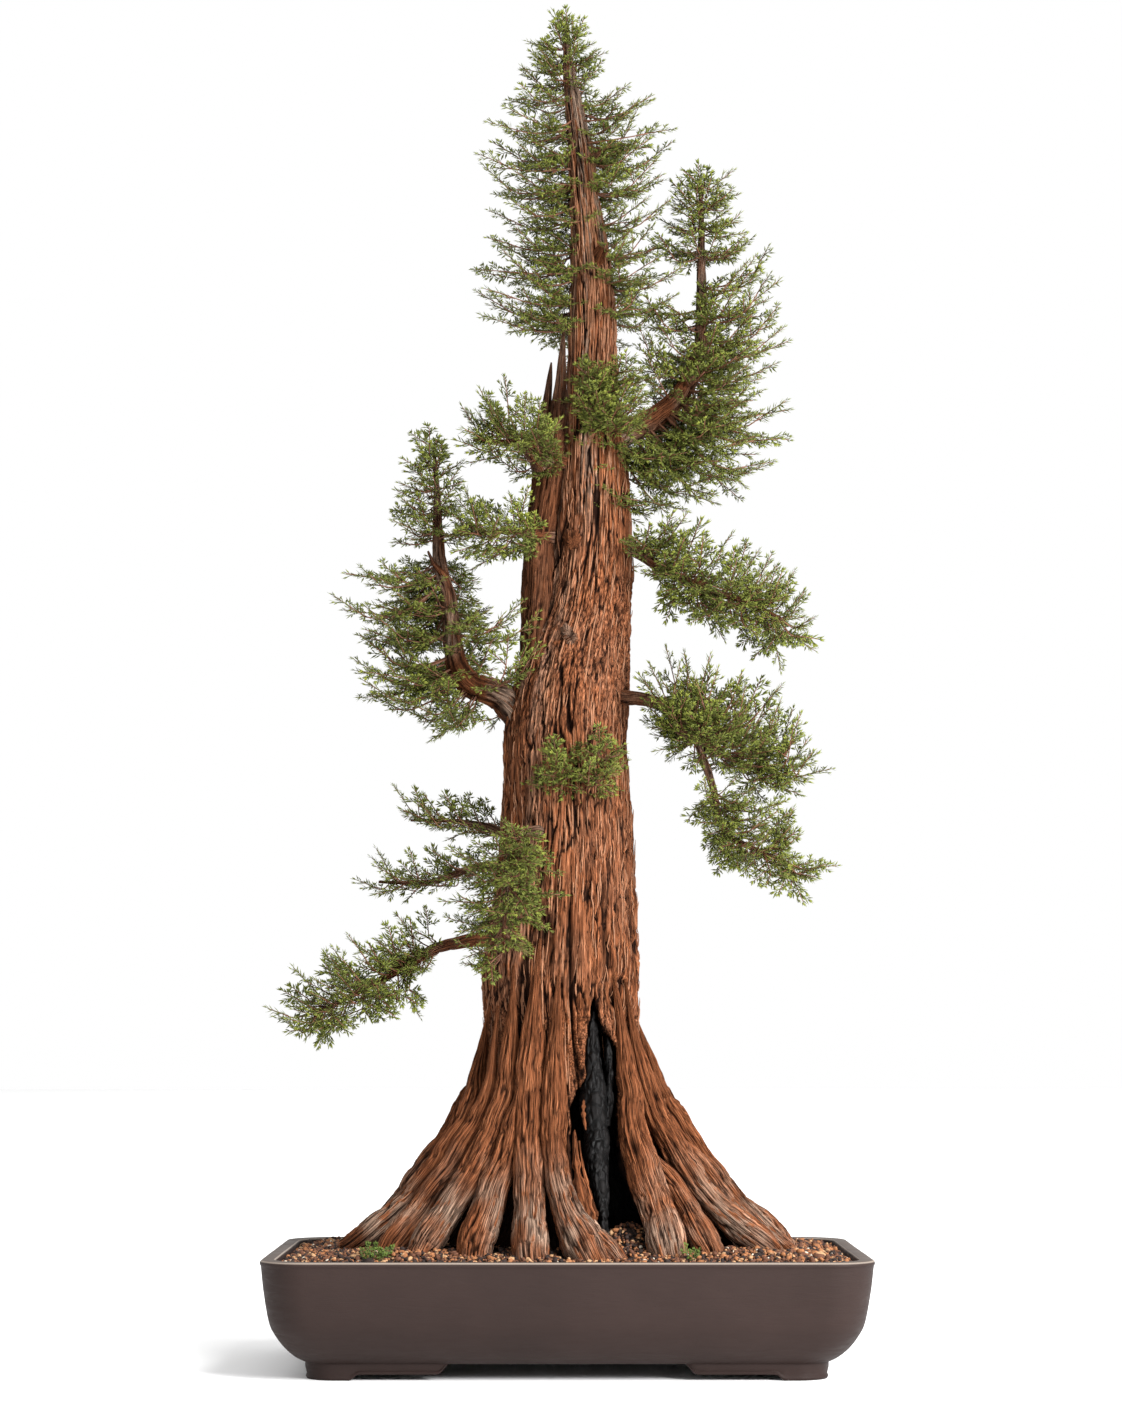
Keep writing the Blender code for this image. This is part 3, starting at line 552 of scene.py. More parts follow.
class Shades:
    """A material under construction, with short names for the nodes that this object needs."""

    def __init__(self, name, roughness=0.7, specular=0.5, metallic=0.0):
        self.material = bpy.data.materials.new(name)
        self.material.use_nodes = True
        self.tree = self.material.node_tree
        self.shader = self.tree.nodes["Principled BSDF"]
        self.fill(self.shader, {"Roughness": roughness, "Specular IOR Level": specular, "Metallic": metallic})
        self.place = self.node("TexCoord", "Object")

    def fill(self, node, values):
        """Links or sets each of a node's inputs."""
        for key, value in values.items():
            if isinstance(value, bpy.types.NodeSocket):
                self.tree.links.new(value, node.inputs[key])
            else:
                node.inputs[key].default_value = value

    def node(self, kind, output, values=None, **settings):
        """Adds a node with its settings and inputs, and gives one of its outputs."""
        node = self.tree.nodes.new("ShaderNode" + kind)
        for key, value in settings.items():
            setattr(node, key, value)
        self.fill(node, values or {})
        return node.outputs[output]

    def stretched(self, scale, rotation=(0, 0, 0)):
        return self.node("Mapping", "Vector", {"Scale": scale, "Rotation": rotation, "Vector": self.place})

    def noise(self, scale, detail=4.0, roughness=0.55, vector=None, distortion=0.0):
        values = {"Scale": scale, "Detail": detail, "Roughness": roughness, "Distortion": distortion}
        return self.node("TexNoise", "Fac", {**values, "Vector": vector or self.place})

    def cells(self, scale, vector):
        values = {"Scale": scale, "Vector": vector}
        return self.node("TexVoronoi", "Distance", values, feature="DISTANCE_TO_EDGE")

    def attribute(self, name, output="Fac"):
        return self.node("Attribute", output, attribute_name=name)

    def along(self, vector, scale):
        """A vector with each of its parts scaled."""
        return self.node("VectorMath", 0, {0: vector, 1: scale}, operation="MULTIPLY")

    def part_z(self, vector):
        return self.node("SeparateXYZ", "Z", {"Vector": vector})

    def math(self, operation, first, second=0.5):
        return self.node("Math", "Value", {0: first, 1: second}, operation=operation)

    def band(self, value, low, high, to_low=0.0, to_high=1.0):
        values = {"From Min": low, "From Max": high, "To Min": to_low, "To Max": to_high, "Value": value}
        return self.node("MapRange", "Result", values, interpolation_type="SMOOTHSTEP")

    def creases(self, value, width, on_line, away=0.0):
        """One value along the middle level of a noise, and another away from it."""
        return self.band(self.math("ABSOLUTE", self.math("SUBTRACT", value, 0.5)), 0.0, width, on_line, away)

    def ramp(self, value, *stops):
        output = self.node("ValToRGB", "Color", {"Fac": value})
        elements = output.node.color_ramp.elements
        while len(elements) < len(stops):
            elements.new(0.5)
        for element, (position, color) in zip(elements, stops):
            element.position = position
            element.color = (*color, 1.0)
        return output

    def mix(self, amount, first, second):
        colors = [(*color, 1.0) if isinstance(color, tuple) else color for color in (first, second)]
        return self.node("Mix", 2, {0: amount, 6: colors[0], 7: colors[1]}, data_type="RGBA")

    def color(self, source):
        self.fill(self.shader, {"Base Color": source})

    def roughness(self, source):
        self.fill(self.shader, {"Roughness": source})

    def bump(self, height, strength, distance, under=None):
        values = {"Strength": strength, "Distance": distance, "Height": height}
        normal = self.node("Bump", "Normal", {**values, "Normal": under} if under else values)
        self.fill(self.shader, {"Normal": normal})
        return normal


def scaled(color, share):
    return tuple(min(part * share, 1.0) for part in color)


def clay_material(color, highlight_color):
    """Dark unglazed clay with brush marks, a painted highlight along the rim's rounded edge and faint fire marks."""
    made = Shades("unglazed_clay", specular=0.12)
    patches = made.noise(9.0, 4.0, 0.6)
    speckle = made.noise(900.0, 2.0, 0.6)
    base = made.ramp(patches, (0.30, scaled(color, 0.82)), (0.70, scaled(color, 1.16)))
    base = made.mix(made.band(speckle, 0.62, 0.74, 0.0, 0.35), base, scaled(color, 0.45))
    # Painted highlight: the colour goes light in a band just under the rim's top, most where the rounded edge slopes
    # and less on the flat top.
    highlit = made.band(made.part_z(made.place), RIM_Z - 0.0016, RIM_Z - 0.0002, 0.0, 0.72)
    upward = made.part_z(made.node("NewGeometry", "Normal"))
    highlit = made.math("MULTIPLY", highlit, made.band(upward, 0.80, 0.985, 1.0, 0.22))
    made.color(made.mix(highlit, base, highlight_color))
    marks = made.noise(130.0, 5.0, 0.62, made.stretched((0.35, 0.35, 2.2), (0, math.radians(24), 0)), 0.8)
    made.roughness(made.band(marks, 0.25, 0.75, 0.50, 0.68))
    made.bump(made.noise(1500.0, 2.0, 0.5), 0.20, 0.0002, made.bump(marks, 0.55, 0.0006))
    return made.material


def bark_material(name, settings, lit_share=1.0, dark_share=1.0, grey_share=1.0):
    """Fibrous bark: ridges up to a painted highlight, furrows and cracks darkened with painted shade, grey weathered
    patches and black char.
    """
    lit = scaled(settings.ridge_color, lit_share)
    dark = scaled(settings.furrow_shade_color, dark_share)
    grey = scaled(settings.weathered_color, grey_share)
    # glint is a painted highlight: a paler copy of the ridge colour.
    glint = tuple(part * share for part, share in zip(lit, (1.8, 2.2, 2.5)))
    made = Shades(name, roughness=0.85, specular=0.06)
    ends = {4: made.attribute("grain_a", "Vector"), 5: made.attribute("grain_b", "Vector")}
    grain = made.node("Mix", 1, {0: made.attribute("blend"), **ends}, data_type="VECTOR")
    fibre = made.noise(1.0, 4.0, 0.62, made.along(grain, (900.0, 900.0, 52.0)), 0.3)
    flakes = made.noise(1.0, 2.0, 0.5, made.along(grain, (400.0, 400.0, 22.0)), 0.15)
    broad = made.noise(1.0, 3.0, 0.6, made.along(grain, (60.0, 60.0, 10.0)))
    # Painted light: the fibres go from painted shade in their grooves to a painted highlight on their ridges, along
    # the same noise that bumps them.
    base = made.ramp(fibre, (0.34, dark), (0.45, scaled(lit, 0.55)), (0.55, lit), (0.68, glint))
    # Painted shade: dark lines in the grooves along the flakes' creases.
    base = made.mix(made.creases(flakes, 0.030, 0.75), base, scaled(dark, 0.6))
    base = made.mix(made.band(broad, 0.45, 0.70, 0.0, 0.40), base, scaled(lit, 0.60))
    # The grey weathered bark takes the same painted shade and highlight along its fibres, and the same painted shade
    # in the flakes' creases.
    pale = made.ramp(fibre, (0.32, scaled(grey, 0.18)), (0.50, scaled(grey, 1.0)), (0.66, scaled(grey, 2.5)))
    pale = made.mix(made.creases(flakes, 0.030, 0.80), pale, scaled(dark, 0.6))
    mottle = made.band(made.noise(1.0, 3.0, 0.6, made.along(grain, (170.0, 170.0, 90.0))), 0.34, 0.50)
    base = made.mix(made.math("MULTIPLY", made.attribute("grey"), mottle), base, pale)
    # Painted shade: near black in the bark's furrows, in the valleys between its buttresses, at the trunk's foot
    # between the roots and on its shaded side; on the deadwood the same value only makes it darker.
    base = made.mix(made.band(made.attribute("shade_and_dark_tone"), 0.25, 0.85, 0.0, 0.96), base, scaled(dark, 0.22))
    made.color(made.mix(made.attribute("char"), base, (0.004, 0.0035, 0.0035)))
    made.roughness(made.band(fibre, 0.2, 0.8, 0.95, 0.72))
    made.bump(fibre, 0.85, 0.0012, made.bump(made.creases(flakes, 0.06, 0.0, 1.0), 0.80, 0.0022))
    return made.material


def char_material():
    """Burnt wood, cracked into small blocks, with a faint shine on the faces."""
    made = Shades("charred_wood", specular=0.09)
    cracks = made.cells(150.0, made.stretched((1.0, 1.0, 0.55)))
    tone = made.noise(70.0, 4.0, 0.6)
    base = made.ramp(tone, (0.30, (0.0022, 0.0020, 0.0020)), (0.70, (0.0095, 0.0084, 0.0082)))
    # Painted shade: the colour goes nearly black along the cracks.
    made.color(made.mix(made.band(cracks, 0.0, 0.12, 0.95, 0.0), base, (0.002, 0.002, 0.002)))
    made.roughness(made.band(tone, 0.3, 0.7, 0.42, 0.70))
    made.bump(made.noise(600.0, 4.0, 0.6), 0.5, 0.0005, made.bump(made.band(cracks, 0.0, 0.25), 0.8, 0.0016))
    return made.material


def twig_material(color):
    made = Shades("young_twig", roughness=0.6, specular=0.35)
    tone = made.noise(260.0, 3.0, 0.6)
    made.color(made.ramp(tone, (0.3, scaled(color, 0.55)), (0.7, scaled(color, 1.2))))
    made.bump(made.noise(1200.0, 3.0, 0.6, made.stretched((1, 1, 0.3))), 0.4, 0.0003)
    return made.material


def needle_material(name, color, roughness):
    """Waxy needles whose green drifts from one spray to the next."""
    made = Shades(name, specular=0.14)
    drift = made.noise(38.0, 3.0, 0.6)
    fleck = made.noise(700.0, 2.0, 0.5)
    base = made.ramp(drift, (0.30, scaled(color, 0.72)), (0.72, scaled(color, 1.22)))
    yellow = (color[0] * 1.5, color[1] * 1.2, color[2])
    made.color(made.mix(made.band(fleck, 0.55, 0.80, 0.0, 0.30), base, yellow))
    made.roughness(made.band(fleck, 0.3, 0.7, roughness - 0.08, roughness + 0.08))
    made.bump(fleck, 0.2, 0.0002)
    return made.material


def grained_material(name, tone, dark, light, rough, grain, relief, **finish):
    """A surface whose colour and roughness drift with one noise, roughened by a finer one."""
    made = Shades(name, **finish)
    tone = made.noise(*tone)
    made.color(made.ramp(tone, dark, light))
    made.roughness(made.band(tone, *rough))
    made.bump(made.noise(*grain), *relief)
    return made.material


def granule_material(name, color):
    dark, light = (0.28, scaled(color, 0.45)), (0.75, scaled(color, 1.25))
    tone, rough = (330.0, 4.0, 0.65), (0.2, 0.8, 0.9, 0.7)
    return grained_material(name, tone, dark, light, rough, (900.0, 3.0, 0.6), (0.7, 0.0006), specular=0.3)


def floor_material(color):
    made = Shades("studio_floor", roughness=0.8, specular=0.1)
    tone = made.noise(3.0, 2.0, 0.5)
    made.color(made.ramp(tone, (0.0, scaled(color, 0.99)), (1.0, color)))
    return made.material


# Pot -------------------------------------------------------------------------------------------


def rounded_outline(half_x, half_y, radius, side_steps, corner_steps=14):
    """Points round a rectangle with round corners, evenly along its sides, counter-clockwise."""

    def on_corner(corner, angle):
        sign_x, sign_y = ((1, 1), (-1, 1), (-1, -1), (1, -1))[corner % 4]
        center = np.array((sign_x * (half_x - radius), sign_y * (half_y - radius)))
        angle = math.radians(angle)
        return center + radius * np.array((math.cos(angle), math.sin(angle)))

    points = []
    for corner in range(4):
        points += [on_corner(corner, 90 * corner + 90 * step / corner_steps) for step in range(corner_steps + 1)]
        start, end = points[-1], on_corner(corner + 1, 90 * (corner + 1))
        steps = side_steps[corner % 2]
        points += [start + (end - start) * step / steps for step in range(1, steps)]
    return np.array(points)


def pot_ring(inset, z, side_steps=(44, 28)):
    outline = rounded_outline(HALF_X - inset, HALF_Y - inset, POT_CORNER - inset * CORNER_DRAFT, side_steps)
    return np.column_stack((outline, np.full(len(outline), z)))


def refined(rows, steps):
    """Adds rows between those of a profile, along a smooth curve."""
    path = smooth_path([(inset, z, 0) for inset, z in rows], steps)
    return [(point[0], point[1]) for point in path]


def pot_body(materials):
    rings = np.array([pot_ring(inset, z) for inset, z in refined(OUTSIDE, 4) + refined(INSIDE, 3)])
    waver = layered_noise(rings * 22.0, 5)[..., None] * 0.00035
    fade = smoothstep(FOOT_HEIGHT, FOOT_HEIGHT + 0.006, rings[..., 2])[..., None]
    rings[..., :2] *= 1 + waver * fade / 0.2
    return tube_object("pot_clay", rings, materials)


def foot_rings(sign_x, sign_y):
    """One bracket foot: a low toe at the corner, a step up and an arm that curves up into the pot."""
    inset = OUTSIDE[0][0] - 0.0008
    radius = POT_CORNER - inset * CORNER_DRAFT
    center_x, center_y = HALF_X - inset - radius, HALF_Y - inset - radius
    quarter = radius * math.pi / 2
    (arm_x, arm_y), (toe_x, toe_y) = (np.array(reach) - radius for reach in (FOOT_ARM, FOOT_TOE))
    top = FOOT_HEIGHT + 0.003
    rings = []
    stations = (np.linspace(-arm_x, 0, 34), np.linspace(0, quarter, 14)[1:], quarter + np.linspace(0, arm_y, 24)[1:])
    for along in np.concatenate(stations):
        turn = math.pi / 2 - min(max(along, 0.0), quarter) / radius
        outward = np.array((math.cos(turn), math.sin(turn)))
        point = np.array((center_x, center_y)) + radius * outward
        past_toe, past_arm = -1.0, 1.0
        if along < 0:
            outward, point = np.array((0.0, 1.0)), np.array((HALF_X - inset - radius + along, HALF_Y - inset))
            past_toe, past_arm = -along - toe_x, arm_x + along
        elif along > quarter:
            outward = np.array((1.0, 0.0))
            point = np.array((HALF_X - inset, HALF_Y - inset - radius - (along - quarter)))
            past_toe, past_arm = along - quarter - toe_y, arm_y - (along - quarter)
        step_up = FOOT_STEP * smoothstep(-0.002, 0.004, past_toe)
        rise = (FOOT_HEIGHT - FOOT_STEP) * (1 - smoothstep(-0.001, 0.009, past_arm)) ** 1.6
        base = min(step_up + rise, FOOT_HEIGHT - 0.0002)
        depths = (0.0, 0.0, 0.0012, 0.0004, 0.0012, FOOT_THICKNESS - 0.0012, FOOT_THICKNESS, FOOT_THICKNESS)
        middle, low = (base + share * (top - base) for share in (0.55, 0.25))
        heights = (top, middle, low, base + 0.0016, base, base, base + 0.0012, top)
        spots = point - outward * np.array(depths)[:, None]
        ring = np.column_stack((sign_x * spots[:, 0], sign_y * spots[:, 1], heights))
        rings.append(ring if sign_x * sign_y > 0 else ring[::-1])
    return np.array(rings)


def join_cut(obj, other, operation):
    """Cuts or joins another mesh at once and removes it."""
    modifier = obj.modifiers.new(operation.lower(), "BOOLEAN")
    modifier.operation = operation
    modifier.solver = "EXACT"
    modifier.object = other
    bpy.context.view_layer.update()
    graph = bpy.context.evaluated_depsgraph_get()
    made = bpy.data.meshes.new_from_object(obj.evaluated_get(graph))
    obj.modifiers.clear()
    obj.data = made
    bpy.data.objects.remove(other)


def color_setting(name, description, default):
    return FloatVectorProperty(
        name=name, description=description, subtype="COLOR", size=3, min=0.0, max=1.0, default=default
    )


class BonsaiPotSettings(bpy.types.PropertyGroup):
    clay_color: color_setting("Clay Colour", "Colour of the unglazed clay", (0.0210, 0.0124, 0.0106))
    rim_color: color_setting("Rim Colour", "Colour of the rim's worn edge", (0.330, 0.275, 0.230))


class BONSAI_OT_make_pot(bpy.types.Operator):
    """Throws the clay pot with its rounded rim, bracket feet and drain bores"""

    bl_idname = "bonsai.make_pot"
    bl_label = "Make Pot"

    def execute(self, context):
        settings = context.scene.bonsai_pot
        clay = [clay_material(tuple(settings.clay_color), tuple(settings.rim_color))]
        pot = pot_body(clay)
        for sign_x, sign_y in itertools.product((-1, 1), repeat=2):
            join_cut(pot, tube_object("foot", foot_rings(sign_x, sign_y), clay), "UNION")
        angle = np.linspace(0, 2 * math.pi, BORE_SIDES, endpoint=False)
        for sign in (-1, 1):
            circle = np.column_stack((sign * DRAIN_X + DRAIN_RADIUS * np.cos(angle), DRAIN_RADIUS * np.sin(angle)))
            ends = (FOOT_HEIGHT - 0.004, FLOOR_Z + 0.004)
            bore = np.array([np.column_stack((circle, np.full(BORE_SIDES, z))) for z in ends])
            join_cut(pot, tube_object("bore", bore, clay), "DIFFERENCE")
        pot.data.shade_smooth()
        pot.data.set_sharp_from_angle(angle=math.radians(38))
        settle(pot, "clay", "pot")
        return {"FINISHED"}


# Trunk -----------------------------------------------------------------------------------------


def crease(noise, width):
    """1 along the zero lines of a noise and 0 away from them."""
    return 1 - smoothstep(0.0, width, np.abs(noise))


def bark_relief(grain):
    """Height of fibrous bark in metres and how deep in a crease each point is, along its grain; the depth later
    becomes painted shade.
    """
    warp = np.stack([layered_noise(grain * (36.0, 36.0, 24.0), seed, 2) for seed in (3, 4)], axis=-1)
    moved = grain.copy()
    moved[..., :2] += warp * 0.0042
    wide = crease(lattice_noise(moved * (210.0, 210.0, 15.0), 21), 0.15)
    medium = crease(lattice_noise(moved * (390.0, 390.0, 27.0), 22), 0.20)
    fine = lattice_noise(moved * (820.0, 820.0, 70.0), 23)
    cross = crease(lattice_noise(moved * (70.0, 70.0, 170.0), 24), 0.12)
    plates = lattice_noise(moved * (110.0, 110.0, 26.0), 25)
    lumps = layered_noise(grain * (34.0, 34.0, 12.0), 26, 2)
    wide = wide * smoothstep(-0.75, -0.25, lattice_noise(moved * (60.0, 60.0, 30.0), 27))
    relief = -0.0032 * wide - 0.0015 * medium + 0.0005 * fine - 0.0009 * cross + 0.0012 * plates + 0.0014 * lumps
    return relief, np.clip(wide + 0.85 * medium + 0.25 * cross, 0, 1)


def grain_place(cosine, sine, radius, along):
    return np.stack(np.broadcast_arrays(cosine * radius, sine * radius, along), axis=-1)


def hollow_mask(points):
    """How far inside the burnt hollow's torn mouth each point is, and 1 inside it."""
    z = points[..., 2]
    torn = layered_noise(points * (70.0, 40.0, 95.0), 31, 3) * 0.0026
    left = points[..., 0] - smooth_table(z, HOLLOW, 1) + torn
    right = smooth_table(z, HOLLOW, 2) - points[..., 0] + torn
    inside = np.minimum(left, right)
    inside = np.where((points[..., 1] < 0) & (z < HOLLOW[-1][0]), inside, -0.1)
    return smoothstep(-0.0004, 0.0018, inside), inside


def greyness(points, low, seed):
    """Weathered patches, mostly on the lower ends of the roots."""
    patches = layered_noise(points * (42.0, 42.0, 20.0), seed, 3)
    return np.clip(low * smoothstep(-0.35, 0.35, patches), 0, 1)


def trunk_surface(angle, z):
    """The barked surface of the trunk for angles in degrees and heights, with its material's values."""
    turn = np.radians(angle)
    cosine, sine = np.cos(turn), np.sin(turn)
    gap = np.interp(z, [row[0] for row in CORE_GAP], [row[1] for row in CORE_GAP])
    reach = smooth_table(z, TRUNK, 2)
    flutes = layered_noise(grain_place(cosine, sine, 1.9, z * 5.0), 32, 2)
    flutes = 1 + 0.045 * flutes * smoothstep(1.0, 0.7, z)
    valley = crease(lattice_noise(grain_place(cosine, sine, 3.3, z * 2.0), 61), 0.20)
    valley = valley * smoothstep(0.43, 0.30, z) * smoothstep(0.17, 0.24, z)
    flutes = flutes - 0.085 * valley
    reach_x = (reach - gap) * flutes
    reach_y = (reach * smooth_table(z, TRUNK, 3) - gap) * flutes
    x, y = reach_x * cosine, reach_y * sine
    outward = np.stack((x, y, np.zeros_like(x)), axis=-1)
    outward /= np.linalg.norm(outward, axis=-1, keepdims=True)
    base = np.stack((x + smooth_table(z, TRUNK, 1), y, z + np.zeros_like(x)), axis=-1)
    low = 1 - smoothstep(0.17, 0.27, z)
    high = smoothstep(0.46, 0.64, z)
    shares = (low, 1 - low - high, high)
    along = z - 0.7 * reach
    relief, shade_and_dark_tone = 0, 0
    grains = []
    for radius, share in zip(GRAIN_RADII, shares):
        grain = grain_place(cosine, sine, radius, along)
        grains.append(grain)
        if share.max() > 0:
            height, depth = bark_relief(grain)
            relief = relief + share * height
            shade_and_dark_tone = shade_and_dark_tone + share * depth
    size = np.clip(reach / 0.034, 0.30, 1.1) * (1 + 0.30 * low)
    shade_and_dark_tone = np.clip(shade_and_dark_tone * (1 + 0.30 * low), 0, 1)
    points = base + outward * (relief * size)[..., None]
    mask, inside = hollow_mask(base)
    lip = np.exp(-(((inside + 0.0030) / 0.0026) ** 2))
    points = points + outward * (lip * (0.0020 + 0.0016 * lattice_noise(base * 260.0, 34)))[..., None]
    back = HOLLOW_DEPTH * smoothstep(0.292, 0.250, z)
    points[..., 1] += mask * (back + layered_noise(base * 110.0, 33, 2) * 0.003)
    weathered = greyness(base, 0.75 * smoothstep(0.17, 0.10, z) + 0.12, 41)
    streaks = lattice_noise(grain_place(cosine, sine, 3.4, z * 9.0), 43)
    high_front = smoothstep(0.82, 0.88, z) * smoothstep(0.0, 0.5, np.cos(turn - math.radians(305)))
    high_front = high_front * smoothstep(-0.35, 0.1, streaks)
    shoulder = smoothstep(0.60, 0.68, z) * smoothstep(0.90, 0.80, z) * smoothstep(-0.1, 0.4, streaks)
    shoulder = shoulder * smoothstep(0.2, 0.8, np.cos(turn - math.radians(225))) * 0.75
    left = 0.55 * smoothstep(0.5, 0.95, np.cos(turn - math.radians(200))) * smoothstep(-0.2, 0.3, streaks)
    grey = np.clip(np.maximum.reduce((weathered, high_front, shoulder, left * smoothstep(0.2, 0.4, z))), 0, 1)
    # Painted shade: darker towards the trunk's foot between the roots, in the valleys between the buttresses, and on
    # the shaded left side of the lower trunk.
    shade_and_dark_tone = np.maximum(shade_and_dark_tone, 0.85 * smoothstep(0.215, 0.140, z))
    shade_and_dark_tone = np.maximum(shade_and_dark_tone, 0.85 * valley)
    shaded_side = smoothstep(0.45, 0.85, np.cos(turn - math.radians(200))) * smoothstep(0.24, 0.38, z)
    shade_and_dark_tone = np.maximum(shade_and_dark_tone, 0.42 * shaded_side * smoothstep(0.75, 0.60, z))
    lower = z.max() < 0.30
    values = {"shade_and_dark_tone": shade_and_dark_tone, "grey": grey, "char": mask, "blend": 1 - low if lower else high}
    values["grain_a"] = grains[0] if lower else grains[1]
    values["grain_b"] = grains[1] if lower else grains[2]
    return points, outward, values


def front_crowded_angles(count):
    """Angles round the trunk, closer together at the front, where the hollow's edges are."""
    even = np.linspace(0, 2 * math.pi, count, endpoint=False)
    return np.degrees(even + 0.42 * np.cos(even))


def root_path(rows, turned, random):
    """The middle of a root in space, from its points as seen from the front, and its radii."""
    rows = np.array(rows)
    flat = smooth_path(rows, 12)
    x, z, radius = flat.T
    radius = radius * (1 + 0.15 * np.exp(-(((z - 0.100) / 0.012) ** 2)))
    share = np.linspace(0, 1, len(flat))
    radius = radius * (0.22 + 0.78 * smoothstep(0.0, 0.24, share))
    buried = radius * (0.28 + 1.3 * (1 - share) ** 1.5)
    reach = smooth_table(z, TRUNK, 2)
    reach_x = reach - radius * (0.35 + 0.9 * (1 - share) ** 2)
    reach_y = reach * smooth_table(z, TRUNK, 3) - buried
    across = np.clip((x - smooth_table(z, TRUNK, 1)) / reach_x, -0.995, 0.995)
    x = smooth_table(z, TRUNK, 1) + across * reach_x
    y = -reach_y * np.sqrt(1 - across**2)
    places = [np.column_stack((z * 60, z * 0 + random, z * 0 + axis)) for axis in (1, 2)]
    sway = np.array([layered_noise(place, 35, 2) for place in places])
    path = np.column_stack((x, y, z))
    path[:, :2] += sway.T * 0.0022 * smoothstep(0.0, 0.3, share)[:, None]
    if turned:
        path[:, 0] = 2 * smooth_table(z, TRUNK, 1) - path[:, 0]
        path[:, 1] *= -1
    return path, radius


def root_paths():
    """Every root's path and radii, in front and behind."""
    paths = [root_path(rows, False, number * 3.7) for number, rows in enumerate(FRONT_ROOTS)]
    paths += [root_path(FRONT_ROOTS[number], True, 60 + number * 2.9) for number in BACK_ROOTS]
    paths += [root_path(rows, True, 90.0) for rows in BACK_MIDDLE_ROOTS]
    return paths


def barked_tube(path, radii, sides, seed, low_grey):
    """Rings of a barked root or limb, with its material's values."""
    rings = tube_rings(path, radii, sides)
    outward = rings - path[:, None, :]
    outward /= np.linalg.norm(outward, axis=-1, keepdims=True)
    along = path_lengths(path)
    angle = np.linspace(0, 2 * math.pi, sides, endpoint=False)[None, :] + seed
    grain = grain_place(np.cos(angle), np.sin(angle), float(np.max(radii)) * 1.6, along[:, None] + seed)
    relief, shade_and_dark_tone = bark_relief(grain)
    size = 0.85 * np.clip(np.asarray(radii) / 0.011, 0.10, 1.0)[:, None]
    bulge = layered_noise(grain * (60.0, 60.0, 26.0), 36, 2) * np.asarray(radii)[:, None] * 0.20
    rings = rings + outward * (relief * size + bulge)[..., None]
    grey = greyness(rings, low_grey, 45 + int(seed))
    none = np.zeros_like(grey)
    # The furrows' depth goes to the material as painted shade.
    return rings, {
        "shade_and_dark_tone": 0.75 * shade_and_dark_tone, "grey": grey, "char": none, "blend": none, "grain_a": grain, "grain_b": grain
    }


def peeling_strips(number, random):
    """Thin strips of bark that have lifted off the trunk, as rings for each strip."""
    steps = np.linspace(0, 1, 7)
    start_z = random.uniform(0.20, 0.93, number)
    angle = random.uniform(0, 360, number)
    length = random.uniform(0.008, 0.032, number)
    width = random.uniform(0.0004, 0.0010, number)
    lift = random.uniform(0.0002, 0.0014, number)
    lean = random.normal(0, 1.2, number)
    z = start_z[:, None] + length[:, None] * steps
    turn = angle[:, None] + lean[:, None] * steps
    points, outward, _ = trunk_surface(turn, z)
    keep = hollow_mask(points)[1].max(axis=1) < -0.004
    taper = np.sin(np.pi * np.clip(steps * 0.92 + 0.05, 0, 1)) ** 0.6
    side = np.stack((-outward[..., 1], outward[..., 0], np.zeros_like(z)), axis=-1)
    raised = points + outward * (0.0002 + lift[:, None] * steps**2)[..., None]
    across = side * (width[:, None] * taper)[..., None]
    deep = outward * (0.00055 * taper)[None, :, None]
    rings = np.stack((raised - across, raised + deep, raised + across, raised - deep), axis=2)
    return rings[keep]


class BonsaiBarkSettings(bpy.types.PropertyGroup):
    ridge_color: color_setting("Ridge Colour", "Colour of the bark's sunlit ridges", (0.200, 0.066, 0.026))
    furrow_shade_color: color_setting("Furrow Colour", "Colour between the bark's fibres", (0.024, 0.008, 0.004))
    weathered_color: color_setting(
        "Weathered Colour", "Colour of bark and bare wood that has gone grey", (0.185, 0.125, 0.090)
    )
    strips: IntProperty(
        name="Peeling Strips",
        description="How many strips of bark have lifted off the trunk",
        min=0,
        default=1500,
    )


class BONSAI_OT_make_trunk(bpy.types.Operator):
    """Grows the fibrous trunk in three lengths, with lifted strips of bark"""

    bl_idname = "bonsai.make_trunk"
    bl_label = "Make Trunk"

    def execute(self, context):
        settings = context.scene.bonsai_bark
        bark = bark_material("trunk_bark", settings)
        names = ("flared_trunk", "middle_trunk", "upper_trunk")
        for name, low, high, sides, rows in zip(names, TRUNK_CUTS, TRUNK_CUTS[1:], TRUNK_SIDES, TRUNK_ROWS):
            heights = np.linspace(low - 0.003, high + 0.003, rows)
            points, outward, values = trunk_surface(*np.meshgrid(front_crowded_angles(sides), heights))
            points[[0, -1]] -= outward[[0, -1]] * 0.0010
            settle(tube_object(name, points, [bark], values), "bark", "tree")
        rings = peeling_strips(settings.strips, np.random.default_rng(7))
        number, rows, columns = rings.shape[:3]
        faces = copies(skin(rows, columns)[2], rows * columns + 2, number)
        ends = rings[:, [0, -1]].mean(axis=2)
        points = np.concatenate((rings.reshape(number, -1, 3), ends), axis=1).reshape(-1, 3)
        loose = faces_object("peeling_bark", points, faces, [twig_material((0.24, 0.10, 0.045))])
        settle(loose, "bark", "tree")
        return {"FINISHED"}


class BONSAI_OT_make_roots(bpy.types.Operator):
    """Grows the round surface roots that run down the flared trunk into the soil"""

    bl_idname = "bonsai.make_roots"
    bl_label = "Make Roots"

    def execute(self, context):
        bark = bpy.data.materials["trunk_bark"]
        tubes = []
        for number, (path, radii) in enumerate(root_paths()):
            low_grey = smoothstep(0.175, 0.110, path[:, 2])[:, None] * 0.9
            tubes.append(barked_tube(path, radii, 72, number * 1.3, low_grey))
        count = len(FRONT_ROOTS)
        settle(tubes_object("front_roots", tubes[:count], [bark]), "bark", "tree")
        settle(tubes_object("back_roots", tubes[count:], [bark]), "bark", "tree")
        return {"FINISHED"}


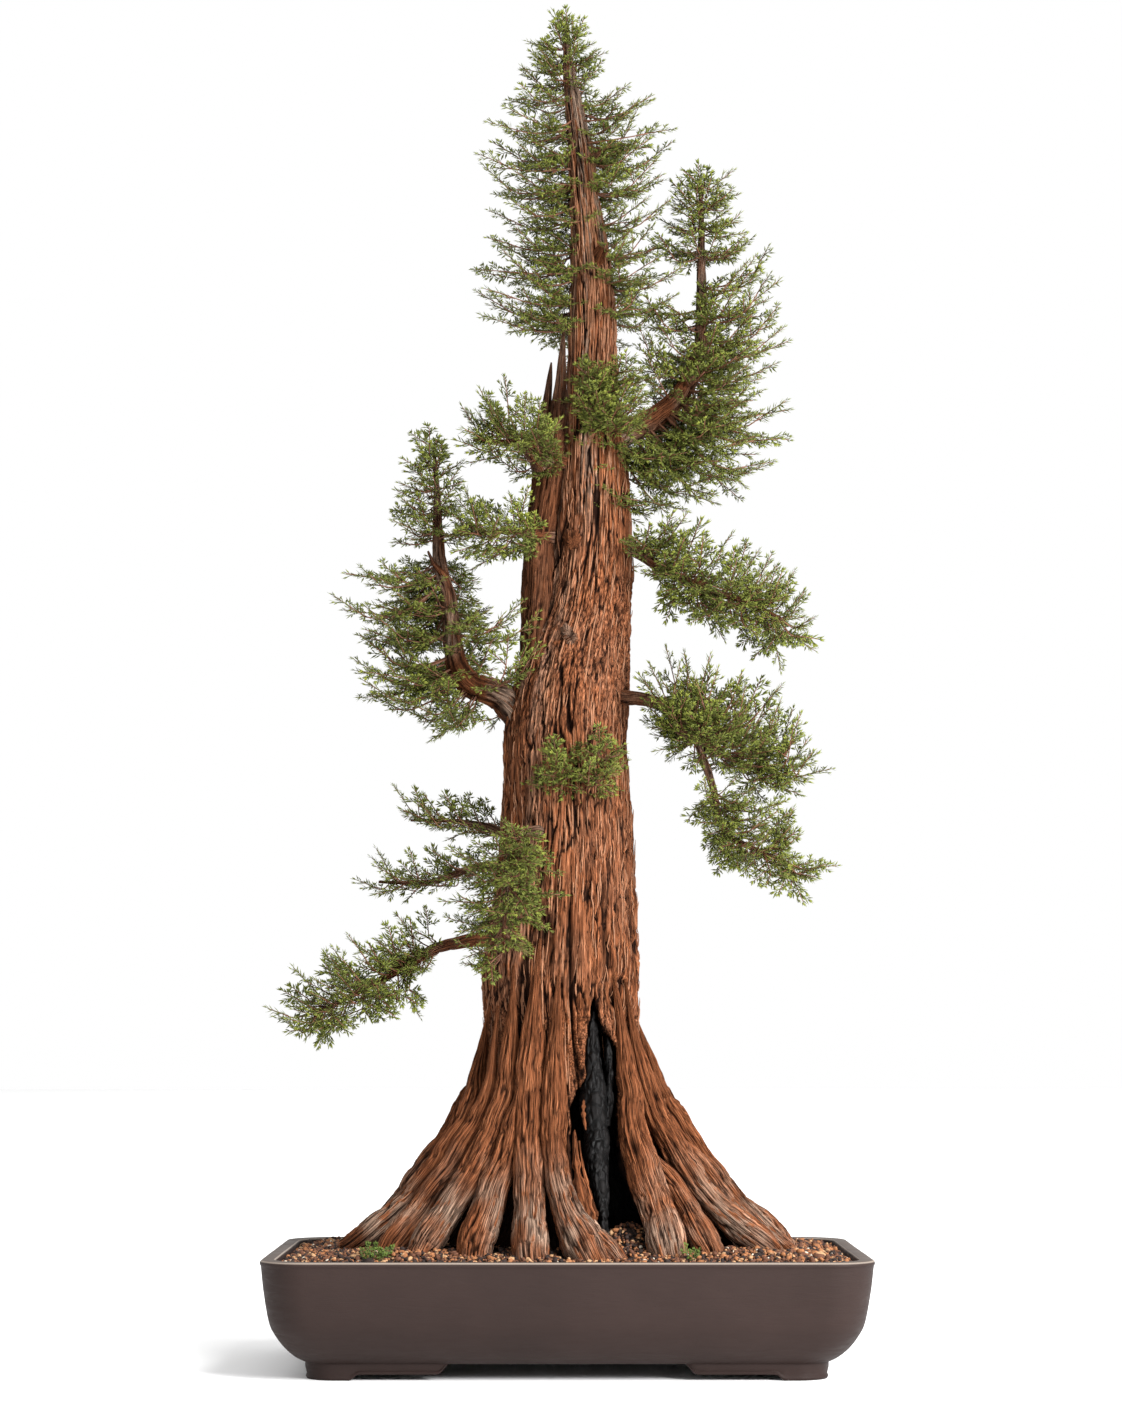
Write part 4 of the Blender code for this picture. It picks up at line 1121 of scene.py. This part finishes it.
def char_column(rows, sides=72):
    """Rings of a cracked column of charred wood."""
    heights = np.linspace(rows[0][0], rows[-1][0], 120)
    left, right, sunk = (smooth_table(heights, rows, column) for column in (1, 2, 3))
    angle = np.linspace(0, 2 * math.pi, sides, endpoint=False)
    middle, half = (left + right) / 2, (right - left) / 2
    reach = smooth_table(heights, TRUNK, 2)
    across = (middle - smooth_table(heights, TRUNK, 1)) / reach
    front = -reach * smooth_table(heights, TRUNK, 3) * np.sqrt(1 - across**2)
    thick = half + 0.006
    rings = np.empty((len(heights), sides, 3))
    rings[..., 0] = middle[:, None] + half[:, None] * np.cos(angle)
    rings[..., 1] = (front + sunk + thick)[:, None] + thick[:, None] * np.sin(angle)
    rings[..., 2] = heights[:, None]
    outward = np.stack((np.cos(angle), np.sin(angle), np.zeros(sides)), axis=-1)
    blocks = crease(lattice_noise(rings * (190.0, 190.0, 110.0), 51), 0.25)
    lumps = layered_noise(rings * (120.0, 120.0, 60.0), 52, 3)
    return rings + outward[None] * (0.0022 * lumps - 0.0014 * blocks)[..., None]


class BONSAI_OT_make_charred_core(bpy.types.Operator):
    """Stands the charred column, its rib and torn flaps of bark inside the burnt hollow"""

    bl_idname = "bonsai.make_charred_core"
    bl_label = "Make Charred Core"

    def execute(self, context):
        rings = [(char_column(rows), {}) for rows in (CHARRED_COLUMN, CHARRED_RIB)]
        settle(tubes_object("charred_column", rings, [char_material()]), "bark", "tree")
        tubes = []
        for number, (points, thickness) in enumerate(FLAPS):
            path = smooth_path(points, 22)
            share = np.linspace(0, 1, len(path))
            torn = 1 + 0.5 * lattice_noise(np.column_stack((share * 14, share * 0, share * 0)) + number, 37)
            radii = np.interp(share, np.linspace(0, 1, len(thickness)), thickness) * torn
            tubes.append(barked_tube(path, radii, 28, 20 + number, 0.0))
        settle(tubes_object("hollow_flaps", tubes, [bpy.data.materials["trunk_bark"]]), "bark", "tree")
        return {"FINISHED"}


# Limbs -----------------------------------------------------------------------------------------


def path_lengths(path):
    """How far along a path each of its points is."""
    return np.concatenate(([0.0], np.cumsum(np.linalg.norm(np.diff(path, axis=0), axis=1))))


def limb_path(points, thick, thin):
    path = smooth_path(points, 14)
    along = path_lengths(path)
    share = along / along[-1]
    places = [np.column_stack((along * 34, along * 0 + axis, along * 0)) for axis in range(3)]
    wander = np.stack([layered_noise(place, 71) for place in places])
    path = path + wander.T * 0.0022 * np.sin(np.pi * share)[:, None]
    flare = 1 + 0.45 * np.exp(-along / 0.016)
    return path, (thick + (thin - thick) * share**0.75) * flare


class BONSAI_OT_make_limbs(bpy.types.Operator):
    """Grows both leaders and every branch that carries foliage"""

    bl_idname = "bonsai.make_limbs"
    bl_label = "Make Limbs"

    def execute(self, context):
        bark = bark_material("limb_bark", context.scene.bonsai_bark, 0.70, 0.80, 0.92)
        for number, (name, limb) in enumerate(LIMBS.items()):
            grey = 0.95 if "leader" in name else 0.65
            rings, values = barked_tube(*limb_path(*limb), 28, number * 3, grey)
            settle(tube_object(name + "_wood", rings, [bark], values), "bark", "tree")
        return {"FINISHED"}


class BONSAI_OT_make_deadwood(bpy.types.Operator):
    """Stands the split spire of deadwood beside the trunk, with the stubs of lost branches"""

    bl_idname = "bonsai.make_deadwood"
    bl_label = "Make Deadwood"

    def execute(self, context):
        trunk_bark, limb_bark = (bpy.data.materials[name] for name in ("trunk_bark", "limb_bark"))
        for name, (points, thickness, grey) in SPLINTERS.items():
            path = smooth_path(points, 26)
            share = np.linspace(0, 1, len(path))
            radii = np.interp(share, np.linspace(0, 1, len(thickness)), thickness)
            rings, values = barked_tube(path, radii, 56, 7.0, grey)
            high = smoothstep(0.70, 0.78, rings[..., 2]) * 0.5
            values["grey"] = np.clip(values["grey"] + high, 0, 0.9)
            # The deadwood is darker all over.
            values["shade_and_dark_tone"] = np.maximum(values["shade_and_dark_tone"], 0.50)
            settle(tube_object(name, rings, [trunk_bark], values), "bark", "tree")
        for number, (name, stub) in enumerate(STUBS.items()):
            rings, values = barked_tube(*limb_path(*stub), 20, 50 + number, 0.6)
            settle(tube_object(name, rings, [limb_bark], values), "bark", "tree")
        return {"FINISHED"}


# Foliage ---------------------------------------------------------------------------------------


# A needle is six points: base, tip and four round its widest place.
NEEDLE_FACES = np.array(((0, 3, 2), (0, 4, 3), (0, 5, 4), (0, 2, 5), (1, 2, 3), (1, 3, 4), (1, 4, 5), (1, 5, 2)))


def needle_points(base, direction, normal, length, width, droop):
    across = np.cross(normal, direction) * width / 2
    widest = base + direction * length * 0.45 - normal * droop * 0.3
    tip = base + direction * length - normal * droop
    thick = width * 0.30
    through = normal * thick / 2
    return np.array((base, tip, widest + across, widest + through, widest - across, widest - through))


def needle_ranks(random, settings, start, direction, normal, length, tones):
    """A straight shoot with needles all round it, thicker set in one plane; gives points and tones."""
    side = np.cross(normal, direction)
    points, slots = [], []
    spots = np.arange(settings.needle_spacing * 0.6, length, settings.needle_spacing / 2)
    for number, along in enumerate(spots):
        share = along / length
        envelope = 0.66 + 0.34 * math.sin(math.pi * min(share * 0.8 + 0.18, 1.0))
        sign = 1 if number % 2 else -1
        out_of_plane = math.radians(random.normal(10, 40))
        spread = math.radians(random.normal(54 - 24 * share, 7))
        across = side * (sign * math.cos(out_of_plane)) + normal * math.sin(out_of_plane)
        pointing = direction * math.cos(spread) + across * math.sin(spread)
        flat = np.cross(pointing, np.cross(normal, pointing))
        flat /= np.linalg.norm(flat)
        reach = settings.needle_length * envelope * random.uniform(0.85, 1.15)
        base = start + direction * along
        points.append(needle_points(base, pointing, flat, reach, settings.needle_width, reach * 0.06))
        # Painted light: further along the shoot, needles less often take the set's first, darkest tone and more often
        # its last, lightest one.
        slots.append(tones[int(np.searchsorted((0.42 - 0.12 * share, 0.93 - 0.20 * share), random.random()))])
    for turn in (-20, 1, 21):
        angle = math.radians(turn + random.normal(0, 5))
        pointing = direction * math.cos(angle) + side * math.sin(angle) + normal * random.normal(0, 0.1)
        pointing /= np.linalg.norm(pointing)
        reach = settings.needle_length * random.uniform(0.6, 0.85)
        tip = start + direction * length * 0.97
        points.append(needle_points(tip, pointing, normal, reach, settings.needle_width, 0.0))
        # The tip's needles take the lightest tone of their set.
        slots.append(tones[2])
    return points, slots


def plume_template(random, settings, length, tones):
    """A plume along +X: a leading shoot with shorter side shoots, as points, faces and materials."""
    direction = np.array((1.0, 0.0, 0.0))
    normal = np.array((0.0, 0.0, 1.0))
    needles, slots = needle_ranks(random, settings, direction * length * 0.12, direction, normal, length * 0.88, tones)
    stems = [(np.zeros(3), direction * length, 0.00055)]
    sign = random.choice((-1, 1))
    for along in np.arange(0.10 * length, 0.84 * length, 0.0050):
        sign = -sign
        angle = math.radians(random.normal(48, 6)) * sign
        tilted = np.array((math.cos(angle), math.sin(angle), random.normal(0, 0.16)))
        tilted /= np.linalg.norm(tilted)
        reach = length * (0.50 - 0.36 * (along / length)) * random.uniform(0.75, 1.2)
        base = direction * along
        more, tags = needle_ranks(random, settings, base, tilted, normal, reach, tones)
        needles += more
        slots += tags
        stems.append((base, tilted * reach, 0.00040))
    plume = Gathered()
    faces = copies(NEEDLE_FACES, 6, len(needles))
    plume.add(np.concatenate(needles), faces, np.repeat(slots, len(NEEDLE_FACES)))
    for number, (base, reach, thick) in enumerate(stems):
        path = base + reach * np.linspace(0, 0.97, 3)[:, None]
        plume.add_tube(path, np.linspace(thick, thick * 0.5, 3), 3, min(number, 1))
    points, faces, materials = plume.arrays()
    ahead = points[:, 0] ** 2
    points[:, 2] -= random.uniform(0.5, 3.0) * ahead
    points[:, 1] += random.normal(0, 1.6) * ahead
    return points, faces, materials


class Bough:
    """Gathers the twigs and plumes of one foliage mass and makes them one piece."""

    def __init__(self, random, plumes):
        self.random = random
        self.plumes = plumes
        self.placements = {}
        self.twigs = []

    def plume(self, start, direction, normal, length):
        direction = direction / np.linalg.norm(direction)
        side = np.cross(normal, direction)
        side /= np.linalg.norm(side)
        size = int(np.argmin(np.abs(np.array(PLUME_LENGTHS) - length)))
        turn = np.column_stack((direction, side, np.cross(direction, side))) * length / PLUME_LENGTHS[size]
        kind = int(self.random.integers(len(self.plumes[size])))
        self.placements.setdefault((size, kind), []).append((turn, start))

    def spray(self, start, tip):
        """A sagging twig whose end turns up, with plumes on both sides and one at its end."""
        random = self.random
        across = tip - start
        across *= 1 - min(TIP_ROOM / np.linalg.norm(across), 0.4)
        length = np.linalg.norm(across)
        share = np.linspace(0, 1, 8)[:, None]
        bend = random.normal(0, 0.06, 3) * length
        bend[2] = -random.uniform(0.05, 0.20) * length
        path = start + across * share + bend * 4 * share * (1 - share) ** 0.8
        self.twigs.append((path, np.linspace(0.00045 + 0.010 * length, 0.00042, 8)))

        def at(place):
            return np.array([np.interp(place, share[:, 0], path[:, axis]) for axis in range(3)])

        sign = random.choice((-1, 1))
        along = length
        while along > max(0.20 * length, 0.004):
            place = along / length
            ahead, behind = at(min(place + 0.1, 1.0)), at(place - 0.1)
            tangent = (ahead - behind) / np.linalg.norm(ahead - behind)
            flat = np.cross((0, 0, 1), tangent)
            flat /= np.linalg.norm(flat) + 1e-9
            up = np.cross(tangent, flat)
            normal = up + random.normal(0, 0.28, 3) + np.array((0, -0.35, 0))
            if along == length:
                self.plume(at(place), tangent, normal, random.uniform(0.017, 0.024))
                along -= 0.0050
                continue
            angle = math.radians(random.normal(50, 7)) * sign
            direction = tangent * math.cos(angle) + flat * math.sin(angle) + up * random.normal(0.10, 0.16)
            reach = min(0.013 + 0.40 * (length - along), 0.028) * random.uniform(0.8, 1.15)
            self.plume(at(place), direction, normal, reach)
            sign = -sign
            along -= SPRAY_STEP * random.uniform(0.8, 1.2)

    def piece(self, name, materials):
        made = Gathered()
        for (size, kind), placed in self.placements.items():
            shape, triangles, tones = self.plumes[size][kind]
            turns, starts = (np.array(values) for values in zip(*placed))
            moved = np.einsum("nij,vj->nvi", turns, shape) + starts[:, None, :]
            faces = copies(triangles, len(shape), len(placed))
            made.add(moved.reshape(-1, 3), faces, np.tile(tones, len(placed)))
        for path, radii in self.twigs:
            made.add_tube(path, radii, 5, 0)
        points, faces, slots = made.arrays()
        return faces_object(name, points, faces, materials, slots)


def hub_points(source, middle, half):
    """Points on the wood from which a foliage mass grows."""
    if source == "trunk":
        path = smooth_path(TRUNK_AXIS, 8)
    else:
        path, _ = limb_path(*LIMBS[source])
    inside = path[(np.abs(path - middle) < half + np.array((0.030, 0.030, 0.004))).all(axis=1)]
    if len(inside) >= 3:
        return inside[::2]
    return path[np.argsort(np.linalg.norm(path - middle, axis=1))[:4]]


def limb_slope(source, hubs):
    """How much the wood under a foliage mass rises for each step to the side, and its direction."""
    across = hubs[-1] - hubs[0]
    if source == "trunk" or abs(across[0]) < 0.030:
        return 0.0, np.zeros(3)
    return float(np.clip(across[2] / across[0], -0.45, 0.45)), across / np.linalg.norm(across)


def tier_plan(name, height):
    """How many tiers a foliage mass has, how crowded they are and how much narrower it is at the top."""
    for word, step, crowding, taper in TIERS:
        if word in name:
            return max(2, int(round(height / step))), crowding, taper
    raise ValueError(name + " has no tier plan")


def spray_tips(name, middle, half, slope, random, density):
    """Where the sprays of a foliage mass end: round the outside of each of its tiers."""
    tips = []
    tall = half[2] - (CROWN_TIP_ROOM if name == "crown_tip" else TIER_ROOM)
    levels, crowding, taper = tier_plan(name, 2 * tall)
    for level in range(levels):
        rise = (level + 0.5) / levels * 2 - 1
        width = 1.0 - taper * (rise + 1) / 2
        if taper < 0.5:
            width *= math.sqrt(max(1 - 0.75 * rise**2, 0.1))
        reach = half[:2] * width
        around = math.pi * (reach[0] + reach[1])
        number = max(4, int(round(density * crowding * around)))
        start = random.uniform(0, 2 * math.pi)
        for turn in start + 2 * math.pi * (np.arange(number) + random.uniform(-0.3, 0.3, number)) / number:
            share = random.uniform(0.72, 1.04) if random.random() < 0.75 else random.uniform(0.40, 0.7)
            away = np.array((reach[0] * math.cos(turn), reach[1] * math.sin(turn))) * share
            height = rise * tall + random.normal(0, 0.0025) + slope * away[0]
            tips.append(middle + np.array((away[0], away[1], height)))
    return tips


def length_setting(name, description, default):
    return FloatProperty(name=name, description=description, unit="LENGTH", default=default)


class BonsaiFoliageSettings(bpy.types.PropertyGroup):
    needle_length: length_setting("Needle Length", "Length of a full-grown needle", 0.0062)
    needle_width: length_setting("Needle Width", "Width of a needle at its middle", 0.00135)
    needle_spacing: length_setting("Needle Spacing", "Distance between pairs of needles", 0.0025)
    sprays: FloatProperty(
        name="Spray Density", description="Sprays for each metre round the outside of a tier", min=1.0, default=36.0
    )
    needle_color: color_setting("Needle Colour", "Colour of full-grown needles", (0.124, 0.144, 0.028))
    twig_color: color_setting("Twig Colour", "Colour of the young twigs", (0.150, 0.060, 0.030))


class BONSAI_OT_make_foliage(bpy.types.Operator):
    """Grows the twigs, sprays and needles of every foliage mass"""

    bl_idname = "bonsai.make_foliage"
    bl_label = "Make Foliage"

    def execute(self, context):
        settings = context.scene.bonsai_foliage
        green = tuple(settings.needle_color)
        # The needles come in three copies of one green: a darker copy that is painted shade, the full green, and a
        # lighter copy that is young growth and painted light.
        materials = [
            twig_material(tuple(settings.twig_color)),
            needle_material("shaded_needles", scaled(green, 0.50), 0.55),
            needle_material("full_needles", green, 0.50),
            needle_material("young_needles", (green[0] * 1.30, green[1] * 1.25, green[2] * 1.05), 0.48),
        ]
        random = np.random.default_rng(11)
        tones = ((1, 2, 3), (1, 2, 3), (1, 1, 2), (2, 2, 3), (1, 2, 2))
        plumes = [
            [plume_template(random, settings, length * random.uniform(0.92, 1.08), shades) for shades in tones]
            for length in PLUME_LENGTHS
        ]
        for number, (name, source) in enumerate(FOLIAGE.items()):
            low, high = (np.array(corner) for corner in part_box(name))
            middle, half = (low + high) / 2, (high - low) / 2 + 0.004
            random = np.random.default_rng(100 + number)
            bough = Bough(random, plumes)
            hubs = hub_points(source, middle, half)
            slope, forward = limb_slope(source, hubs)
            clear = source == "trunk" and "crown" in name
            for tip in spray_tips(name, middle, half, slope, random, settings.sprays):
                if clear and abs(tip[0] - 0.012) < 0.020 and tip[1] < 0.0 and random.random() < 0.7:
                    continue
                if name == "upper_right_pad" and tip[0] < 0.058:
                    continue
                distance = np.linalg.norm(hubs - tip + forward * 0.018 - np.array((0, 0, 0.003)), axis=1)
                start = hubs[int(np.argmin(distance))]
                if np.linalg.norm(start - tip) > 0.008:
                    bough.spray(start, tip)
            if name == "crown_tip" or "spire" in name:
                for turn in range(TOP_SPRAYS):
                    top = hubs[-1] - np.array((0.0, 0.0, 0.008 + 0.0022 * turn))
                    reach = 0.005 + 0.0007 * turn
                    lean = np.array((math.cos(2.4 * turn) * reach, math.sin(2.4 * turn) * reach, 0.004))
                    bough.spray(top, top + lean)
            settle(bough.piece(name + "_needles", materials), "needles", name)
        return {"FINISHED"}


# Soil ------------------------------------------------------------------------------------------


def soil_height(x, y):
    share = np.maximum(np.abs(x) / (HALF_X - SOIL_INSET), np.abs(y) / (HALF_Y - SOIL_INSET))
    mound = SOIL_EDGE_Z + SOIL_MOUND * np.clip(1 - share, 0, 1) ** 0.6
    heap_x, heap_y, rise, width = HEAP
    heap = rise * np.exp(-((x - heap_x) ** 2 + (y - heap_y) ** 2) / width**2)
    return mound + heap


def in_trunk(x, y, margin):
    """True where the trunk or a root stands in the soil, outside the burnt hollow."""
    z = np.full_like(x, 0.100)
    reach_x = smooth_table(z, TRUNK, 2) - 0.034
    reach_y = smooth_table(z, TRUNK, 2) * smooth_table(z, TRUNK, 3) - 0.034
    inside = np.hypot(x / reach_x, y / reach_y) < 1
    hollow = (x > HOLLOW[1][1]) & (x < HOLLOW[1][2]) & (y < 0) & (y > -0.12)
    inside &= ~(hollow & (y < -0.030))
    for path, radii in root_paths():
        for point, radius in zip(path, radii):
            if 0.076 < point[2] < 0.118:
                inside |= np.hypot(x - point[0], y - point[1]) < radius - margin
    return inside


def stone_shape(random, levels):
    """A rounded, slightly flat stone with uneven faces."""
    builder = bmesh.new()
    bmesh.ops.create_icosphere(builder, subdivisions=levels, radius=1.0)
    points = np.array([vertex.co for vertex in builder.verts])
    faces = np.array([[vertex.index for vertex in face.verts] for face in builder.faces])
    builder.free()
    stretch = np.array((random.uniform(0.8, 1.5), random.uniform(0.75, 1.0), random.uniform(0.5, 0.85)))
    points = points * (1 + 0.22 * lattice_noise(points * 1.7 + random.uniform(0, 50, 3), 91))[:, None]
    return points * stretch, faces


class BonsaiSoilSettings(bpy.types.PropertyGroup):
    granules: IntProperty(name="Granules", description="How many granules lie on top", min=0, default=15000)
    granule_size: length_setting("Granule Size", "Width of a common granule", 0.0027)


class BONSAI_OT_make_soil(bpy.types.Operator):
    """Fills the pot with dark soil and scatters bark and clay granules over it"""

    bl_idname = "bonsai.make_soil"
    bl_label = "Make Soil"

    def bed(self):
        """The dark soil under the granules, up the inside of the pot and in over the mound."""
        rings = [pot_ring(inset, z) for inset, z in SOIL_SIDE]
        outline = pot_ring(SOIL_INSET, 0.0)
        for share in np.concatenate((np.linspace(0.995, 0.30, 60), (0.2, 0.1))):
            ring = outline * share
            ring[:, 2] = soil_height(ring[:, 0], ring[:, 1])
            ring[:, 2] += layered_noise(ring * 160.0, 95, 3) * 0.0014 - 0.0016
            rings.append(ring)
        return tube_object("soil_bed", np.array(rings), [granule_material("dark_soil", (0.014, 0.007, 0.005))])

    def execute(self, context):
        settings = context.scene.bonsai_soil
        settle(self.bed(), "soil", "soil")
        random = np.random.default_rng(23)
        materials = [granule_material(name, color) for name, (color, _) in GRANULES.items()]
        shares = [share for _, share in GRANULES.values()]
        shapes = [stone_shape(random, 1) for _ in range(14)]
        half_x, half_y = HALF_X - SOIL_INSET, HALF_Y - SOIL_INSET
        x = random.uniform(-1, 1, settings.granules * 3) * (half_x - 0.001)
        y = random.uniform(-1, 1, settings.granules * 3) * (half_y - 0.001)
        corner = POT_CORNER - 0.005
        over_x = np.clip(np.abs(x) - (half_x - corner), 0, None)
        over_y = np.clip(np.abs(y) - (half_y - corner), 0, None)
        free = (np.hypot(over_x, over_y) < corner - 0.002) & ~in_trunk(x, y, 0.002)
        x, y = x[free][: settings.granules], y[free][: settings.granules]
        size = settings.granule_size / 2 * np.exp(random.normal(0, 0.30, len(x)))
        z = soil_height(x, y) + size * random.uniform(-0.5, 0.6, len(x))
        near = np.abs(x) <= SOIL_SPLIT
        sides = {"left": x < -SOIL_SPLIT, "front": near & (y < 0), "back": near & (y >= 0), "right": x > SOIL_SPLIT}
        for side, chosen in sides.items():
            made = Gathered()
            for index in np.flatnonzero(chosen):
                shape, triangles = shapes[random.integers(len(shapes))]
                turn = np.array(Matrix.Rotation(random.uniform(0, 6.28), 3, Vector(random.normal(0, 1, 3))))
                moved = shape @ turn.T * size[index] + np.array((x[index], y[index], z[index]))
                made.add(moved, triangles, random.choice(len(shares), p=shares))
            points, faces, slots = made.arrays()
            piece = faces_object("soil_granules_" + side, points, faces, materials, slots, smooth=False)
            settle(piece, "soil", "soil")
        return {"FINISHED"}


class BONSAI_OT_make_sprouts(bpy.types.Operator):
    """Grows the two green sprouts that came up in the soil"""

    bl_idname = "bonsai.make_sprouts"
    bl_label = "Make Sprouts"

    def execute(self, context):
        leaf = needle_material("sprout_leaves", (0.090, 0.135, 0.026), 0.5)
        stalk = twig_material((0.070, 0.110, 0.030))
        stalk.name = "sprout_stalk"
        settings = context.scene.bonsai_foliage
        random = np.random.default_rng(31)
        templates = [[plume_template(random, settings, PLUME_LENGTHS[0], (1, 2, 3)) for _ in range(3)]]
        for name, stems in (("sprout_left", 12), ("sprout_right", 3)):
            low, high = (np.array(corner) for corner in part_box(name))
            middle, half = (low + high) / 2, (high - low) / 2
            bough = Bough(random, templates)
            for number in range(stems):
                turn = number * 2.4 + random.uniform(0, 0.5)
                out = half[0] * math.sqrt((number + 0.5) / stems) * 0.75
                base = middle + np.array((math.cos(turn) * out, math.sin(turn) * out, 0.0))
                base[2] = soil_height(base[0], base[1])
                lean = np.array((math.cos(turn) * 0.7, math.sin(turn) * 0.7, 0.9)) + random.normal(0, 0.2, 3)
                up = np.cross(lean, np.array((math.sin(turn), -math.cos(turn), 0.1)))
                bough.plume(base, lean, up / np.linalg.norm(up), random.uniform(0.007, 0.011))
            settle(bough.piece(name + "_leaves", [stalk, leaf, leaf, leaf]), "sprout", name)
        return {"FINISHED"}


class BONSAI_OT_finish_drainage(bpy.types.Operator):
    """Gives the drain screens and the wires that hold them their plastic and metal"""

    bl_idname = "bonsai.finish_drainage"
    bl_label = "Finish Drainage"

    def execute(self, context):
        plastic = grained_material(
            "drain_screen_plastic", (300.0, 3.0, 0.6), (0.3, (0.020, 0.021, 0.022)), (0.7, (0.045, 0.047, 0.050)),
            (0.3, 0.7, 0.45, 0.65), (1400.0, 2.0, 0.5), (0.2, 0.0002), specular=0.4,
        )
        metal = grained_material(
            "aluminium_wire", (500.0, 3.0, 0.6), (0.3, (0.30, 0.18, 0.11)), (0.7, (0.50, 0.33, 0.21)),
            (0.3, 0.7, 0.32, 0.50), (1500.0, 2.0, 0.5), (0.15, 0.0001), metallic=1.0,
        )
        finishes = {"drain_screen_": plastic, "screen_wire_": metal}
        for (kind, material), side in itertools.product(finishes.items(), ("left", "right")):
            for slot in bpy.data.objects[kind + side].material_slots:
                slot.material = material
        return {"FINISHED"}


# Stage -----------------------------------------------------------------------------------------


class BonsaiStageSettings(bpy.types.PropertyGroup):
    key_power: FloatProperty(name="Key Power", description="Power of the main light", default=3.8)
    side_power: FloatProperty(name="Side Power", description="Power of the side light", unit="POWER", default=50.0)
    sky_strength: FloatProperty(name="Sky Strength", description="Strength of the even light", default=1.0)
    floor_color: color_setting("Floor Colour", "Colour of the studio floor", (0.97, 0.97, 0.97))


def lamp(name, kind, power, place, aim, **settings):
    """A light at a place that shines towards another one."""
    data = bpy.data.lights.new(name, kind)
    data.energy = power
    for key, value in settings.items():
        setattr(data, key, value)
    made = bpy.data.objects.new(name, data)
    made.rotation_euler = (Vector(place) - Vector(aim)).to_track_quat("Z", "Y").to_euler()
    bpy.context.scene.collection.objects.link(made)
    return made


class BONSAI_OT_set_stage(bpy.types.Operator):
    """Sets the pale floor, the soft studio light and the camera"""

    bl_idname = "bonsai.set_stage"
    bl_label = "Set Stage"

    def execute(self, context):
        settings = context.scene.bonsai_stage
        corners = FLOOR_HALF * np.array(((-1, -1, 0), (1, -1, 0), (1, 1, 0), (-1, 1, 0)))
        corners = np.concatenate((corners - np.array((0, 0, 0.05)), corners - np.array((0, 0, 0.0002))))
        sides = ((3, 2, 1, 0), (4, 5, 6, 7), (0, 1, 5, 4), (1, 2, 6, 5), (2, 3, 7, 6), (3, 0, 4, 7))
        material = floor_material(tuple(settings.floor_color))
        floor = faces_object("studio_floor", corners, sides, [material], smooth=False)
        world = bpy.data.worlds.new("studio")
        world.use_nodes = True
        sky = world.node_tree.nodes["Background"]
        sky.inputs["Color"].default_value = (1.0, 1.0, 1.0, 1.0)
        sky.inputs["Strength"].default_value = settings.sky_strength
        context.scene.world = world
        lamp("key", "SUN", settings.key_power, (1.15, -0.95, 1.5), (0.0, 0.0, 0.0), angle=math.radians(28))
        fill = lamp("fill", "AREA", settings.side_power, FILL_PLACE, (0.0, 0.0, 0.30), shape="DISK", size=0.7)
        fill.location = FILL_PLACE
        camera = bpy.data.cameras.new("camera")
        camera.sensor_width = 36.0
        camera.lens = CAMERA_LENS
        viewer = bpy.data.objects.new("camera", camera)
        viewer.location = CAMERA_PLACE
        viewer.rotation_euler = (CAMERA_TILT, 0.0, 0.0)
        context.scene.collection.objects.link(viewer)
        context.scene.camera = viewer
        context.scene.view_settings.view_transform = "Standard"
        return {"FINISHED"}


class BONSAI_PT_panel(bpy.types.Panel):
    """Lists the steps that dress the bonsai"""

    bl_idname = "BONSAI_PT_panel"
    bl_label = "Potted Bonsai"
    bl_space_type = "VIEW_3D"
    bl_region_type = "UI"
    bl_category = "Bonsai"

    def draw(self, context):
        for name, group in GROUPS.items():
            box = self.layout.box()
            for key in group.__annotations__:
                box.prop(getattr(context.scene, name), key)
        for step in STEPS:
            self.layout.operator(step.bl_idname)


GROUPS = {
    "bonsai_pot": BonsaiPotSettings,
    "bonsai_bark": BonsaiBarkSettings,
    "bonsai_foliage": BonsaiFoliageSettings,
    "bonsai_soil": BonsaiSoilSettings,
    "bonsai_stage": BonsaiStageSettings,
}
STEPS = (
    BONSAI_OT_set_stage,
    BONSAI_OT_make_pot,
    BONSAI_OT_finish_drainage,
    BONSAI_OT_make_soil,
    BONSAI_OT_make_trunk,
    BONSAI_OT_make_roots,
    BONSAI_OT_make_charred_core,
    BONSAI_OT_make_limbs,
    BONSAI_OT_make_deadwood,
    BONSAI_OT_make_foliage,
    BONSAI_OT_make_sprouts,
)


def register():
    for kind in (*GROUPS.values(), *STEPS, BONSAI_PT_panel):
        bpy.utils.register_class(kind)
    for name, group in GROUPS.items():
        setattr(bpy.types.Scene, name, PointerProperty(type=group))


def unregister():
    for name in GROUPS:
        delattr(bpy.types.Scene, name)
    for kind in reversed((*GROUPS.values(), *STEPS, BONSAI_PT_panel)):
        bpy.utils.unregister_class(kind)


def main():
    register()
    for step in STEPS:
        family, name = step.bl_idname.split(".")
        getattr(getattr(bpy.ops, family), name)()


if __name__ == "__main__":
    main()
